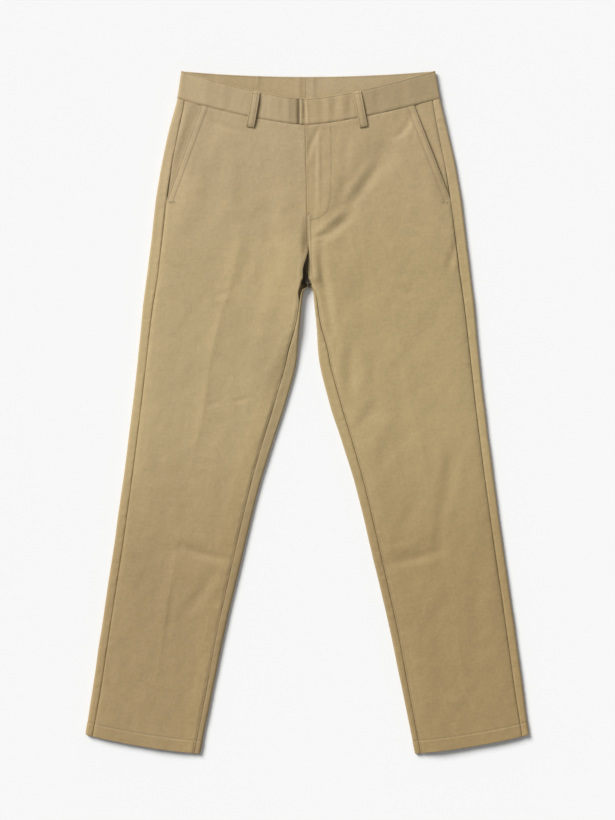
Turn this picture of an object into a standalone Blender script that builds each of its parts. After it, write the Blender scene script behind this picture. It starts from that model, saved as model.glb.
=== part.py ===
"""Flat-front chino trousers, laid out front up on a level surface.

The waist points to +Y, the wearer's left leg is on +X, and the underside rests on Z = 0. Each leg is a
flattened tube of cloth. Its section is taken at a level, which is the Y of its outer fold, and is made of
a low dome over the front, a round fold at each side and a flat underside. The panels are strips of that
tube, each with its own wall thickness, cut apart at the seams. Sizes are in millimetres, and MM turns
them into metres.
"""

from collections import namedtuple

import bmesh
import bpy
import numpy as np

MM = 0.001

# Wall of each kind of cloth, and the gap between pieces that are sewn together.
CLOTH = 1.2
HEM_CLOTH = 1.8
BAND_CLOTH = 2.0
LOOP_CLOTH = 1.5
GAP = 0.3

# The tube of cloth.
OUTER_FOLD = 3.8
DOME_RAMP = 45.0
HEM_DEPTH = 20.0
HEM_BOW = 3.5
BOW_END_LEVEL = -208.0
BACK_RISE = 36.0
WAIST_CURVE = 1.4
BACK_CURVE = 2.0
CENTRE_AT_WAIST = -3.5
CENTRE_AT_CROTCH = 1.5

# The slanted pocket mouth, from the waist seam to the side seam.
POCKET_TOP = (169.5, 490.0)
POCKET_FOOT = (226.0, 336.0)
POCKET_FOOT_LEVEL = 338.0
FACING_UNDERLAP = 14.0
FACING_TAIL = 20.0
FACING_EDGE = 1.0
FACING_CLEAR = 0.9
FACING_RISE = 10.0

# Belt loops, whose places across are shares of the half width.
LOOP_WIDTH = 13.0
LOOP_TOP_LEVEL = 544.0
LOOP_FOOT_LEVEL = 483.0
LOOP_STAND = 2.6
LOOP_SLANT = 0.03
BACK_LIFT = LOOP_CLOTH + GAP
LIFT_FULL_LEVEL = 476.0
LIFT_START_LEVEL = 415.0

# The fly, measured across from the centre front line.
BAND_LAP = 8.5
BAND_UNDERLAP = 34.0
LAP_MARK = BAND_LAP + 2.0
LAP_STEP = BAND_CLOTH + GAP
LAP_SLOPE = 20.0
HOOK_ROOM = 2.4
HOOK_SLOPE = 8.0
START_STRIP = 3.0
SHIELD_ACROSS = (-16.0, 36.0)
SHIELD_CLOTH = 1.3
FLY_FOOT_LEVEL = 347.0
ZIP_ACROSS = (2.0, 28.0)
ZIP_CLOTH = 1.0
SLIDER_SIZE = (7.0, 10.0, 1.2)
SLIDER_LEVEL = 484.0
HOOK_SIZE = (16.0, 10.0, 0.8)
BAR_SIZE = (13.0, 14.0, 0.8)
HOOK_ACROSS = 14.0
HOOK_LEVEL = 521.0

# One row for each section, from the top of the waistband to the hem. Outer is the half width at the outer
# fold on the wearer's right, and left_extra is what the left has more. Outseam and inseam are how far in
# from the folds the seams lie, measured round the cloth. Inner and inner_y place the inner end of the
# section, on the centre line above the crotch. Loft is the height of the dome, and inner_height the height
# over the inner end.
Section = namedtuple(
    "Section", "name level outer left_extra outseam inner inner_y inseam loft inner_height"
)
SECTIONS = (
    Section("band_top", 545.0, 201.5, 2.5, 12.0, 0.0, 500.0, 0.0, 12.0, 12.0),
    Section("waist_seam", 500.5, 208.0, 4.0, 14.0, 0.0, 458.0, 0.0, 12.0, 12.0),
    Section("high_hip", 451.0, 221.0, 2.5, 17.0, 0.0, 411.0, 0.0, 13.0, 12.0),
    Section("hip", 397.0, 233.0, 3.0, 18.5, 0.0, 361.0, 0.0, 13.5, 11.5),
    Section("pocket_foot", 340.0, 242.0, 3.5, 19.0, 0.0, 309.0, 0.0, 13.5, 9.5),
    Section("seat", 280.0, 249.0, 4.0, 19.5, 0.0, 252.0, 0.0, 13.5, 6.6),
    Section("crotch", 240.0, 254.0, 4.0, 19.5, 0.0, 213.0, 0.0, 13.0, 5.0),
    Section("fork", 231.0, 255.0, 4.0, 19.5, 3.5, 204.0, 0.0, 12.8, 5.2),
    Section("below_fork", 216.0, 257.0, 4.0, 19.5, 8.0, 190.0, 5.0, 12.6, 5.6),
    Section("groin", 172.0, 262.5, 3.5, 18.0, 12.8, 147.0, 7.5, 12.4, 6.2),
    Section("high_thigh", 112.0, 268.5, 3.0, 16.5, 17.6, 86.0, 18.0, 12.2, 6.6),
    Section("mid_thigh", 45.0, 275.5, 3.0, 16.0, 34.0, 18.0, 19.5, 11.8, 6.8),
    Section("low_thigh", -22.0, 283.5, 3.0, 16.0, 55.5, -49.0, 18.0, 11.4, 6.8),
    Section("above_knee", -85.0, 291.5, 3.0, 16.0, 75.5, -113.0, 16.0, 11.0, 6.8),
    Section("knee", -208.0, 308.5, 3.0, 16.0, 106.0, -238.0, 15.0, 10.4, 6.8),
    Section("calf", -328.0, 326.5, 2.0, 15.5, 134.0, -358.0, 13.5, 10.0, 6.8),
    Section("ankle", -425.0, 341.0, 1.0, 15.5, 153.5, -455.0, 12.0, 9.6, 6.8),
    Section("hem", -515.0, 354.3, -0.8, 13.0, 172.0, -545.5, 11.0, 9.4, 6.8),
)
BY_LEVEL = tuple(reversed(SECTIONS))
SECTION = {section.name: section for section in SECTIONS}
WAIST_LEVEL = SECTION["waist_seam"].level
BAND_TOP_LEVEL = SECTION["band_top"].level
CROTCH_LEVEL = SECTION["crotch"].level
HEM_LEVEL = SECTION["hem"].level

# The largest soft valleys in the front, from one end to the other, with their half width and depth.
Fold = namedtuple("Fold", "name x0 y0 x1 y1 half_width depth")
FOLDS = (
    Fold("left_hip_drag", 122.0, 412.0, 46.0, 306.0, 20.0, 2.4),
    Fold("left_pocket_drag", 160.0, 470.0, 132.0, 446.0, 16.0, 1.0),
    Fold("right_pocket_drag", -186.0, 472.0, -148.0, 460.0, 16.0, 0.9),
    Fold("left_inner_thigh", 26.0, 190.0, 60.0, 60.0, 18.0, 1.4),
    Fold("left_knee", 130.0, -240.0, 208.0, -217.0, 18.0, 1.2),
    Fold("right_knee", -200.0, -217.0, -130.0, -231.0, 18.0, 1.2),
)

# Grid lines. Levels run up the garment; the counts are the strips between the marks round a section.
LEG_ROWS = 19
SEAT_ROWS = 13
FRONT_STRIPS = 6
FOLD_STRIPS = 2
UNDER_STRIPS = 4
BAND_ROWS = 3
BAND_LAP_STRIPS = 4
BAND_SIDE_STRIPS = 3
LOOP_ROWS = 8
DENSE = 48
INNER_SPREAD = 12.0

RIGHT, LEFT = -1, 1


def smoothstep(value):
    """0 below 0, 1 above 1, and an S curve between."""
    t = np.clip(value, 0.0, 1.0)
    return t * t * (3.0 - 2.0 * t)


def smooth_column(level, column):
    """A column of SECTIONS at one level: a cubic curve through its rows that never overshoots them."""
    at = np.array([section.level for section in BY_LEVEL])
    values = np.array([getattr(section, column) for section in BY_LEVEL])
    steps = np.diff(at)
    slopes = np.diff(values) / steps
    same_way = slopes[:-1] * slopes[1:] > 0
    sums = np.where(same_way, slopes[:-1] + slopes[1:], 1.0)
    middle = np.where(same_way, 2.0 * slopes[:-1] * slopes[1:] / sums, 0.0)
    tangents = np.concatenate([slopes[:1], middle, slopes[-1:]])
    i = int(np.clip(np.searchsorted(at, level) - 1, 0, len(steps) - 1))
    t = (level - at[i]) / steps[i]
    start = values[i] * (1 + 2 * t) * (1 - t) ** 2 + values[i + 1] * t * t * (3 - 2 * t)
    return start + steps[i] * t * (1 - t) * (tangents[i] * (1 - t) - tangents[i + 1] * t)


def section_at(side, level):
    """The section at one level as plain numbers, with the half width of the given side."""
    row = Section("", level, *(smooth_column(level, name) for name in Section._fields[2:]))
    extra = row.left_extra if side == LEFT else 0.0
    return row._replace(outer=row.outer + extra)


def centre_x(y):
    """The centre front line, which leans a little to the wearer's right at the waist."""
    waist_y, crotch_y = SECTION["waist_seam"].inner_y, SECTION["crotch"].inner_y
    above = np.clip((y - crotch_y) / (waist_y - crotch_y), 0.0, 1.0)
    in_leg = np.clip((crotch_y - y) / crotch_y, 0.0, 1.0)
    return (CENTRE_AT_CROTCH + (CENTRE_AT_WAIST - CENTRE_AT_CROTCH) * above) * (1.0 - in_leg)


def back_lift(level):
    """How far the back belt loops hold the back off the surface."""
    return BACK_LIFT * smoothstep((level - LIFT_START_LEVEL) / (LIFT_FULL_LEVEL - LIFT_START_LEVEL))


def fold_relief(x, y):
    """Depth of the soft valleys at each point: a bell across each line that fades out at its two ends."""
    depth = np.zeros(np.broadcast(x, y).shape)
    for fold in FOLDS:
        run = np.array([fold.x1 - fold.x0, fold.y1 - fold.y0])
        length = float(np.hypot(*run))
        along = ((x - fold.x0) * run[0] + (y - fold.y0) * run[1]) / length
        across = ((x - fold.x0) * run[1] - (y - fold.y0) * run[0]) / length
        past = np.maximum(np.maximum(-along, along - length), 0.0)
        depth -= fold.depth * np.exp(-(across ** 2 + past ** 2) / fold.half_width ** 2)
    return depth


def row_x(side, row, across):
    """X along one section. The lean of the centre line dies out towards the outer fold."""
    lean = centre_x(row.inner_y) * (1.0 - across / (row.outer - row.inner))
    return lean + side * (row.inner + across)


def row_y(row, across, under):
    """Y along one section. Under is 0 on the front and 1 on the back, whose centre is cut higher."""
    share = np.abs(across) / (row.outer - row.inner)
    bow = HEM_BOW * smoothstep((BOW_END_LEVEL - row.level) / (BOW_END_LEVEL - HEM_LEVEL))
    hip = smoothstep((row.level - CROTCH_LEVEL) / (WAIST_LEVEL - CROTCH_LEVEL))
    front = row.inner_y + (row.level - row.inner_y) * share ** (1.0 + (WAIST_CURVE - 1.0) * hip)
    back_y = row.inner_y + BACK_RISE * hip
    back = back_y + (row.level - back_y) * share ** (1.0 + (BACK_CURVE - 1.0) * hip)
    return front + (back - front) * under - bow * 4.0 * share * (1.0 - share)


def dome_height(side, row, across):
    """Height of the front: its inner height, up to the loft, and down to the outer fold, less the folds."""
    width = row.outer - row.inner
    round_inside = 0.0 if row.inner == 0.0 else row.inner_height / 2
    edge = back_lift(row.level) + 2 * OUTER_FOLD
    from_inner = smoothstep((np.abs(across) - round_inside) / DOME_RAMP)
    from_outer = smoothstep((width - OUTER_FOLD - across) / DOME_RAMP)
    inner = row.inner_height + (row.loft - row.inner_height) * from_inner
    outer = edge + (row.loft - edge) * from_outer
    relief = fold_relief(row_x(side, row, across), row_y(row, across, 0.0))
    return np.minimum(inner, outer) + relief * from_outer * from_inner ** 0.5


class Outline:
    """The outer face of the cloth round one section, as a curve measured by its length round the tube.

    It starts at the inner end of the front, runs over the dome, round the outer fold and back along the
    underside. In a leg it then goes round the inner fold and over its own start, so that a back panel can
    end on the top face. Marks are lengths along it.
    """

    def __init__(self, side, level):
        self.side = side
        self.row = section_at(side, level)
        if level >= CROTCH_LEVEL:
            self.row = self.row._replace(inner=0.0)
        row = self.row
        self.low = back_lift(level)
        width = row.outer - row.inner
        radius = row.inner_height / 2
        is_leg = row.inner > 0.0
        quarter = np.linspace(0.0, np.pi / 2, DENSE // 4)
        start = radius if is_leg else 0.0
        top = np.linspace(start, width - OUTER_FOLD, DENSE * 2)
        turn = np.linspace(np.pi / 2, -np.pi / 2, DENSE // 2)
        runs = [
            (top, dome_height(side, row, top)),
            (width - OUTER_FOLD + OUTER_FOLD * np.cos(turn), self.low + OUTER_FOLD * (1 + np.sin(turn))),
            (top[::-1], np.full(top.shape, self.low)),
        ]
        if is_leg:
            rising = (radius * (1 - np.cos(quarter)), radius * np.sin(quarter) + radius)
            falling = (radius * (1 - np.sin(quarter)), radius * (1 - np.cos(quarter)))
            runs = [rising, *runs, falling, rising, runs[0]]
        counts = np.cumsum([len(run[0]) for run in runs]) - 1
        self.across = np.concatenate([run[0] for run in runs])
        self.height = np.concatenate([run[1] for run in runs])
        steps = np.hypot(np.diff(self.across), np.diff(self.height))
        self.length = np.concatenate([[0.0], np.cumsum(steps)])
        first = 1 if is_leg else 0
        self.fold_top = self.length[counts[first]]
        self.fold_under = self.length[counts[first + 1]]
        self.under_end = self.length[counts[first + 2]]
        self.inner_top = self.length[counts[0]] if is_leg else 0.0
        self.inner_edge = self.length[counts[first + 3]] if is_leg else self.under_end
        self.outseam = self.fold_top + OUTER_FOLD * np.pi / 2 - row.outseam
        self.inseam = row.inseam
        self.is_leg = is_leg

    def points(self, lengths, depth=0.0):
        """World points at these lengths, moved in by depth along the cloth's own normal."""
        lengths = np.asarray(lengths, dtype=float)
        across = np.interp(lengths, self.length, self.across)
        height = np.interp(lengths, self.length, self.height)
        step = 0.2
        before, after = lengths - step, lengths + step
        run = np.interp(after, self.length, self.across) - np.interp(before, self.length, self.across)
        rise = np.interp(after, self.length, self.height) - np.interp(before, self.length, self.height)
        size = np.maximum(np.hypot(run, rise), 1e-9)
        inner_across = across + depth * rise / size
        inner_height = height - depth * run / size
        under = smoothstep((lengths - self.fold_top) / (self.fold_under - self.fold_top))
        return self.world(inner_across, inner_height, under)

    def world(self, across, height, under):
        x = row_x(self.side, self.row, across)
        y = row_y(self.row, across, under)
        return np.stack([x, y, np.broadcast_to(height, x.shape)], axis=-1)

    def pocket_edge(self):
        """Length at which this section crosses the pocket mouth, or the outseam below the pocket."""
        on_top = self.length <= self.fold_top
        across = self.across[on_top]
        x = np.abs(row_x(self.side, self.row, across))
        y = row_y(self.row, across, 0.0)
        down = (POCKET_TOP[1] - y) / (POCKET_TOP[1] - POCKET_FOOT[1])
        extra = self.row.left_extra * down if self.side == LEFT else 0.0
        mouth = POCKET_TOP[0] + (POCKET_FOOT[0] - POCKET_TOP[0]) * down + extra
        crossing = float(np.interp(0.0, x - mouth, self.length[on_top]))
        return min(crossing, self.outseam)


def spans(marks, counts):
    """Lengths that divide each span between two marks into its own number of equal strips."""
    parts = [
        np.linspace(a, b, count, endpoint=False) for a, b, count in zip(marks, marks[1:], counts)
    ]
    return np.append(np.concatenate(parts), marks[-1])


def add_material(name, colour, roughness, metallic=0.0):
    material = bpy.data.materials.new(name)
    material.use_nodes = True
    shader = material.node_tree.nodes["Principled BSDF"]
    shader.inputs["Base Color"].default_value = (*colour, 1.0)
    shader.inputs["Roughness"].default_value = roughness
    shader.inputs["Metallic"].default_value = metallic
    material.diffuse_color = (*colour, 1.0)
    return material


def add_solid(name, vertices, faces, material):
    """A closed mesh object with its faces turned outwards."""
    mesh = bpy.data.meshes.new(name)
    mesh.from_pydata([tuple(point) for point in vertices * MM], [], faces)
    shell = bmesh.new()
    shell.from_mesh(mesh)
    bmesh.ops.recalc_face_normals(shell, faces=shell.faces)
    shell.to_mesh(mesh)
    shell.free()
    mesh.materials.append(material)
    solid = bpy.data.objects.new(name, mesh)
    bpy.context.scene.collection.objects.link(solid)
    return solid


def add_wall(name, outer, inner, material):
    """A wall between two faces that share a grid of rows and columns, closed along its four rims."""
    rows, columns = outer.shape[:2]
    vertices = np.concatenate([outer.reshape(-1, 3), inner.reshape(-1, 3)])
    inside = rows * columns
    faces = []
    for r in range(rows - 1):
        for c in range(columns - 1):
            corner = r * columns + c
            cell = (corner, corner + 1, corner + columns + 1, corner + columns)
            faces.append(cell)
            faces.append(tuple(inside + index for index in reversed(cell)))
    top_rim = [(rows - 1) * columns + c for c in range(columns)]
    left_rim = [r * columns for r in range(rows)]
    right_rim = [r * columns + columns - 1 for r in range(rows)]
    for rim in (list(range(columns)), top_rim, left_rim, right_rim):
        for a, b in zip(rim, rim[1:]):
            faces.append((a, b, inside + b, inside + a))
    return add_solid(name, vertices, faces, material)


def add_block(name, centre, size, material):
    """A plain plate, centred at a point, with its size along X, Y and Z."""
    signs = np.array([(x, y, z) for x in (-1, 1) for y in (-1, 1) for z in (-1, 1)])
    vertices = np.array(centre) + signs * np.array(size) / 2
    faces = [(0, 1, 3, 2), (4, 6, 7, 5), (0, 4, 5, 1), (2, 3, 7, 6), (0, 2, 6, 4), (1, 5, 7, 3)]
    return add_solid(name, vertices, faces, material)


def panel_levels():
    """Levels from the hem to the waist seam: one step at the turned-up hem, closer rows over the seat."""
    leg_top = SECTION["groin"].level
    hem_top = HEM_LEVEL + HEM_DEPTH
    fork = [SECTION[name].level for name in ("below_fork", "fork", "crotch")]
    seat = np.linspace(CROTCH_LEVEL, WAIST_LEVEL - GAP / 2, SEAT_ROWS + 1)[1:]
    leg = np.linspace(hem_top + 1.0, leg_top, LEG_ROWS)
    return [HEM_LEVEL, hem_top, *leg, *fork, *seat]


def panel_wall(level):
    return HEM_CLOTH if level <= HEM_LEVEL + HEM_DEPTH else CLOTH


def front_lengths(line, start, mouth):
    """Columns of a front panel, which the waistband shares so that the waist seam keeps one gap."""
    round_end = max(line.inner_top, start + START_STRIP)
    marks = (start, round_end, start + LAP_MARK, mouth - FACING_UNDERLAP, mouth)
    return spans(marks, (1, 1, FRONT_STRIPS, 1))


def add_front(side, name, material):
    """Front panel: from the centre seam or the inseam to the outseam or the pocket mouth."""
    outer, inner = [], []
    for level in panel_levels():
        line = Outline(side, level)
        lengths = front_lengths(line, line.inseam + GAP / 2, line.pocket_edge() - GAP / 2)
        outer.append(line.points(lengths))
        inner.append(line.points(lengths, panel_wall(level)))
    return add_wall(name, np.array(outer), np.array(inner), material)


def add_back(side, name, material):
    """Back panel: from the outseam round the outer fold and below, then up to the centre or the inseam."""
    outer, inner = [], []
    for level in panel_levels():
        line = Outline(side, level)
        middle = (line.fold_top + line.fold_under) / 2
        marks = [line.outseam + GAP / 2, line.fold_top, middle, line.fold_under]
        if line.is_leg:
            end = line.inner_edge + line.inseam - GAP / 2
            round_top = min(line.inner_edge + line.inner_top, end - 0.4)
            round_middle = min(line.inner_edge, end - 0.8)
            marks += [line.under_end, round_middle, round_top, end]
        else:
            marks += [line.under_end - INNER_SPREAD * k for k in (3, 2, 1)] + [line.under_end - GAP / 2]
        lengths = spans(marks, (1, FOLD_STRIPS, FOLD_STRIPS, UNDER_STRIPS, 1, 1, 1))
        outer.append(line.points(lengths))
        inner.append(line.points(lengths, panel_wall(level)))
    return add_wall(name, np.array(outer), np.array(inner), material)


def add_facing(side, name, material):
    """Pocket facing: under the edge of the front, rising beside the pocket mouth to meet the outseam."""
    outer, inner = [], []
    for level in panel_levels():
        if level < POCKET_FOOT_LEVEL - FACING_TAIL:
            continue
        line = Outline(side, level)
        mouth = line.pocket_edge() - GAP / 2
        end = max(line.outseam - GAP / 2, mouth + FACING_EDGE)
        lengths = spans((mouth - FACING_UNDERLAP, mouth, mouth + FACING_EDGE, end), (1, 1, 3))
        sunk = (CLOTH + FACING_CLEAR) * (1.0 - smoothstep((lengths - mouth - FACING_EDGE) / FACING_RISE))
        outer.append(line.points(lengths, sunk))
        inner.append(line.points(lengths, sunk + CLOTH))
    return add_wall(name, np.array(outer), np.array(inner), material)


def lap_sink(across):
    """How far the right end of the waistband drops to pass below the left end and its hook."""
    step_down = LAP_STEP * smoothstep((LAP_MARK + LAP_SLOPE - across) / LAP_SLOPE)
    hook_down = HOOK_ROOM * smoothstep((START_STRIP - across) / HOOK_SLOPE)
    return step_down + hook_down


def add_waistband(side, name, material):
    """Half of the waistband, from its end at the fly, round the side, to the centre back."""
    outer, inner = [], []
    start = -BAND_LAP if side == LEFT else -BAND_UNDERLAP
    for level in np.linspace(WAIST_LEVEL + GAP / 2, BAND_TOP_LEVEL, BAND_ROWS + 1):
        line = Outline(side, level)
        mouth = line.pocket_edge() - GAP / 2
        shared = front_lengths(line, GAP / 2, mouth)
        beyond = spans((mouth, line.outseam, line.fold_top), (BAND_SIDE_STRIPS, 1))[1:-1]
        over_front = np.interp(np.concatenate([shared, beyond]), line.length, line.across)
        lap = np.linspace(start, 0.0, BAND_LAP_STRIPS, endpoint=False)
        across = np.concatenate([lap, over_front])
        sink = lap_sink(across) if side == RIGHT else 0.0
        height = dome_height(side, line.row, across) - sink
        front = line.world(across, height, 0.0)
        behind_front = line.world(across, height - BAND_CLOTH, 0.0)
        middle = (line.fold_top + line.fold_under) / 2
        marks = (line.fold_top, middle, line.fold_under, line.under_end - GAP / 2)
        lengths = spans(marks, (FOLD_STRIPS, FOLD_STRIPS, UNDER_STRIPS + 2))
        outer.append(np.concatenate([front, line.points(lengths)]))
        inner.append(np.concatenate([behind_front, line.points(lengths, BAND_CLOTH)]))
    return add_wall(name, np.array(outer), np.array(inner), material)


def add_belt_loop(side, share, is_front, name, material):
    """Belt loop: a strip from the band's top edge to below the waist seam. A front one stands off."""
    outer, inner = [], []
    travel = np.linspace(0.0, 1.0, LOOP_ROWS + 1)
    stand = LOOP_STAND * np.sqrt(np.sin(np.pi * travel)) if is_front else np.zeros(travel.shape)
    for t, clear in zip(travel, stand):
        level = LOOP_TOP_LEVEL + (LOOP_FOOT_LEVEL - LOOP_TOP_LEVEL) * t
        line = Outline(side, level)
        middle = (share + LOOP_SLANT * t * (share > 0)) * line.row.outer
        across = middle + np.array([-LOOP_WIDTH / 2, LOOP_WIDTH / 2])
        if is_front:
            near = dome_height(side, line.row, across) + GAP + clear
            far = near + LOOP_CLOTH
        else:
            near = np.full(across.shape, line.low - GAP)
            far = near - LOOP_CLOTH
        under = 0.0 if is_front else 1.0
        outer.append(line.world(across, far, under))
        inner.append(line.world(across, near, under))
    return add_wall(name, np.array(outer), np.array(inner), material)


def add_fly_strip(name, across_ends, levels, depth, thickness, material):
    """A strip below the front at the fly, at one depth under the cloth's outer face."""
    outer, inner = [], []
    across = np.linspace(across_ends[0], across_ends[1], 4)
    for level in levels:
        line = Outline(LEFT, level)
        height = dome_height(LEFT, line.row, np.abs(across)) - depth
        outer.append(line.world(across, height, 0.0))
        inner.append(line.world(across, height - thickness, 0.0))
    return add_wall(name, np.array(outer), np.array(inner), material)


def add_fly(tape_material, cloth, metal):
    """The closed zip with its slider, and the shield behind it."""
    slider_depth = CLOTH + GAP
    zip_depth = slider_depth + SLIDER_SIZE[2] + GAP
    shield_depth = zip_depth + ZIP_CLOTH + 2 * GAP
    levels = np.linspace(FLY_FOOT_LEVEL, WAIST_LEVEL - 2.0, 8)
    add_fly_strip("fly_shield", SHIELD_ACROSS, levels, shield_depth, SHIELD_CLOTH, cloth)
    add_fly_strip("zip_tape", ZIP_ACROSS, levels[1:], zip_depth, ZIP_CLOTH, tape_material)
    line = Outline(LEFT, SLIDER_LEVEL)
    across = sum(ZIP_ACROSS) / 2
    top = dome_height(LEFT, line.row, np.array([across])) - slider_depth - SLIDER_SIZE[2] / 2
    add_block("zip_slider", line.world(np.array([across]), top, 0.0)[0], SLIDER_SIZE, metal)


def add_hook_and_bar(metal):
    """The flat hook and bar that close the waistband, between its two lapped ends."""
    line = Outline(LEFT, HOOK_LEVEL)
    across = np.array([HOOK_ACROSS])
    hook_z = dome_height(LEFT, line.row, across) - BAND_CLOTH - GAP - HOOK_SIZE[2] / 2
    bar_z = hook_z - (HOOK_SIZE[2] + BAR_SIZE[2]) / 2 - GAP
    add_block("waist_hook", line.world(across, hook_z, 0.0)[0], HOOK_SIZE, metal)
    add_block("waist_bar", line.world(across, bar_z, 0.0)[0], BAR_SIZE, metal)


def main():
    for old in list(bpy.data.objects):
        bpy.data.objects.remove(old, do_unlink=True)
    twill = add_material("khaki twill", (0.50, 0.38, 0.22), 0.85)
    tape = add_material("zip tape", (0.42, 0.31, 0.18), 0.8)
    metal = add_material("antique brass", (0.45, 0.34, 0.18), 0.4, 1.0)
    for side, word in ((LEFT, "left"), (RIGHT, "right")):
        add_front(side, f"front_{word}", twill)
        add_back(side, f"back_{word}", twill)
        add_facing(side, f"pocket_facing_{word}", twill)
        add_waistband(side, f"waistband_{word}", twill)
        add_belt_loop(side, 0.395, True, f"belt_loop_front_{word}", twill)
        add_belt_loop(side, 0.62, False, f"belt_loop_back_{word}", twill)
    add_belt_loop(LEFT, 0.0, False, "belt_loop_back_centre", twill)
    add_fly(tape, twill, metal)
    add_hook_and_bar(metal)


main()
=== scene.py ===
"""Flat-front chino trousers laid out front up: the cloth, seams, stitching and finishes.

Every panel is a strip of a flattened tube of cloth. A tube has one section at each level, which is the Y
of its outer fold, and lengths are measured round that section from its inner end. X is the wearer's left
and the viewer's right, +Y runs to the waist and Z = 0 is the surface. Tables are in millimetres, and MM
turns them into metres.
"""

from collections import namedtuple

import bpy
import numpy as np
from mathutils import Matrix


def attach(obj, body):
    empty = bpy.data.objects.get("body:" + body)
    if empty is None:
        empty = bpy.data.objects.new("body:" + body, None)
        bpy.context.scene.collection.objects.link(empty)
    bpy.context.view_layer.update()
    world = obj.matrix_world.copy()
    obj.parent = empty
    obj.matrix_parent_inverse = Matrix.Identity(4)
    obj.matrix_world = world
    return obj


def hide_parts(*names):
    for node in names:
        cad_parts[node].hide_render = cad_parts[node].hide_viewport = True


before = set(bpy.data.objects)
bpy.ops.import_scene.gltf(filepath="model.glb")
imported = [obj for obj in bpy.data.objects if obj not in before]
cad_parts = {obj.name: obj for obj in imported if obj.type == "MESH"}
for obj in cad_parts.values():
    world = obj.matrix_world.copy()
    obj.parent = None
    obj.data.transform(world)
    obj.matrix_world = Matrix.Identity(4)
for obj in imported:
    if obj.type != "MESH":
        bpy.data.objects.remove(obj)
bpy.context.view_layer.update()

bl_info = {
    "name": "Laid chino trousers",
    "version": (1, 0, 0),
    "blender": (4, 5, 0),
    "location": "View3D > Sidebar > Trousers",
    "description": "Builds the cloth, stitching and finishes of a pair of chino trousers laid flat",
    "category": "Object",
}

MM = 0.001
RIGHT, LEFT = -1, 1
WORDS = {LEFT: "left", RIGHT: "right"}

# The tube of cloth.
GAP = 0.3
SEAM_GAP = 0.06
OUTER_FOLD = 3.8
DOME_RAMP = 45.0
HEM_DEPTH = 20.0
HEM_BOW = 3.5
BOW_END_LEVEL = -208.0
BACK_RISE = 36.0
WAIST_CURVE = 1.4
BACK_CURVE = 2.0
CENTRE_AT_WAIST = -3.5
CENTRE_AT_CROTCH = 1.5
BACK_LIFT = 1.8
LIFT_FULL_LEVEL = 476.0
LIFT_START_LEVEL = 415.0

# Pocket mouth, belt loops and fly.
POCKET_TOP = (169.5, 490.0)
POCKET_FOOT = (226.0, 336.0)
POCKET_FOOT_LEVEL = 338.0
FACING_UNDERLAP = 14.0
FACING_TAIL = 20.0
FACING_SINK = 1.6
FACING_GAPE = 1.8
FACING_RISE = 16.0
LOOP_WIDTH = 13.0
LOOP_TOP_LEVEL = 544.0
LOOP_FOOT_LEVEL = 483.0
LOOP_STAND = 2.6
LOOP_SLANT = 0.03
LOOP_CLOTH = 1.5
FRONT_LOOP_SHARE = 0.395
BACK_LOOP_SHARE = 0.62
BAND_CLOTH = 2.0
BAND_LAP = 8.5
BAND_UNDERLAP = 34.0
LAP_MARK = BAND_LAP + 2.0
LAP_STEP = BAND_CLOTH + GAP
LAP_SLOPE = 20.0
HOOK_ROOM = 2.4
HOOK_SLOPE = 8.0
START_STRIP = 3.0
SHIELD_ACROSS = (-16.0, 36.0)
SHIELD_DEPTH = 4.6
SHIELD_CLOTH = 1.3
ZIP_ACROSS = (2.0, 28.0)
ZIP_DEPTH = 3.0
ZIP_CLOTH = 1.0
ZIP_RISE = 21.5
TOOTH_PITCH, TOOTH_LENGTH, TOOTH_WIDTH = 1.2, 4.4, 0.8
TEETH_ROWS = [1, 30]
FLY_FOOT_LEVEL = 347.0
FLY_STITCH_FOOT_Y = 313.0

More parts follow.
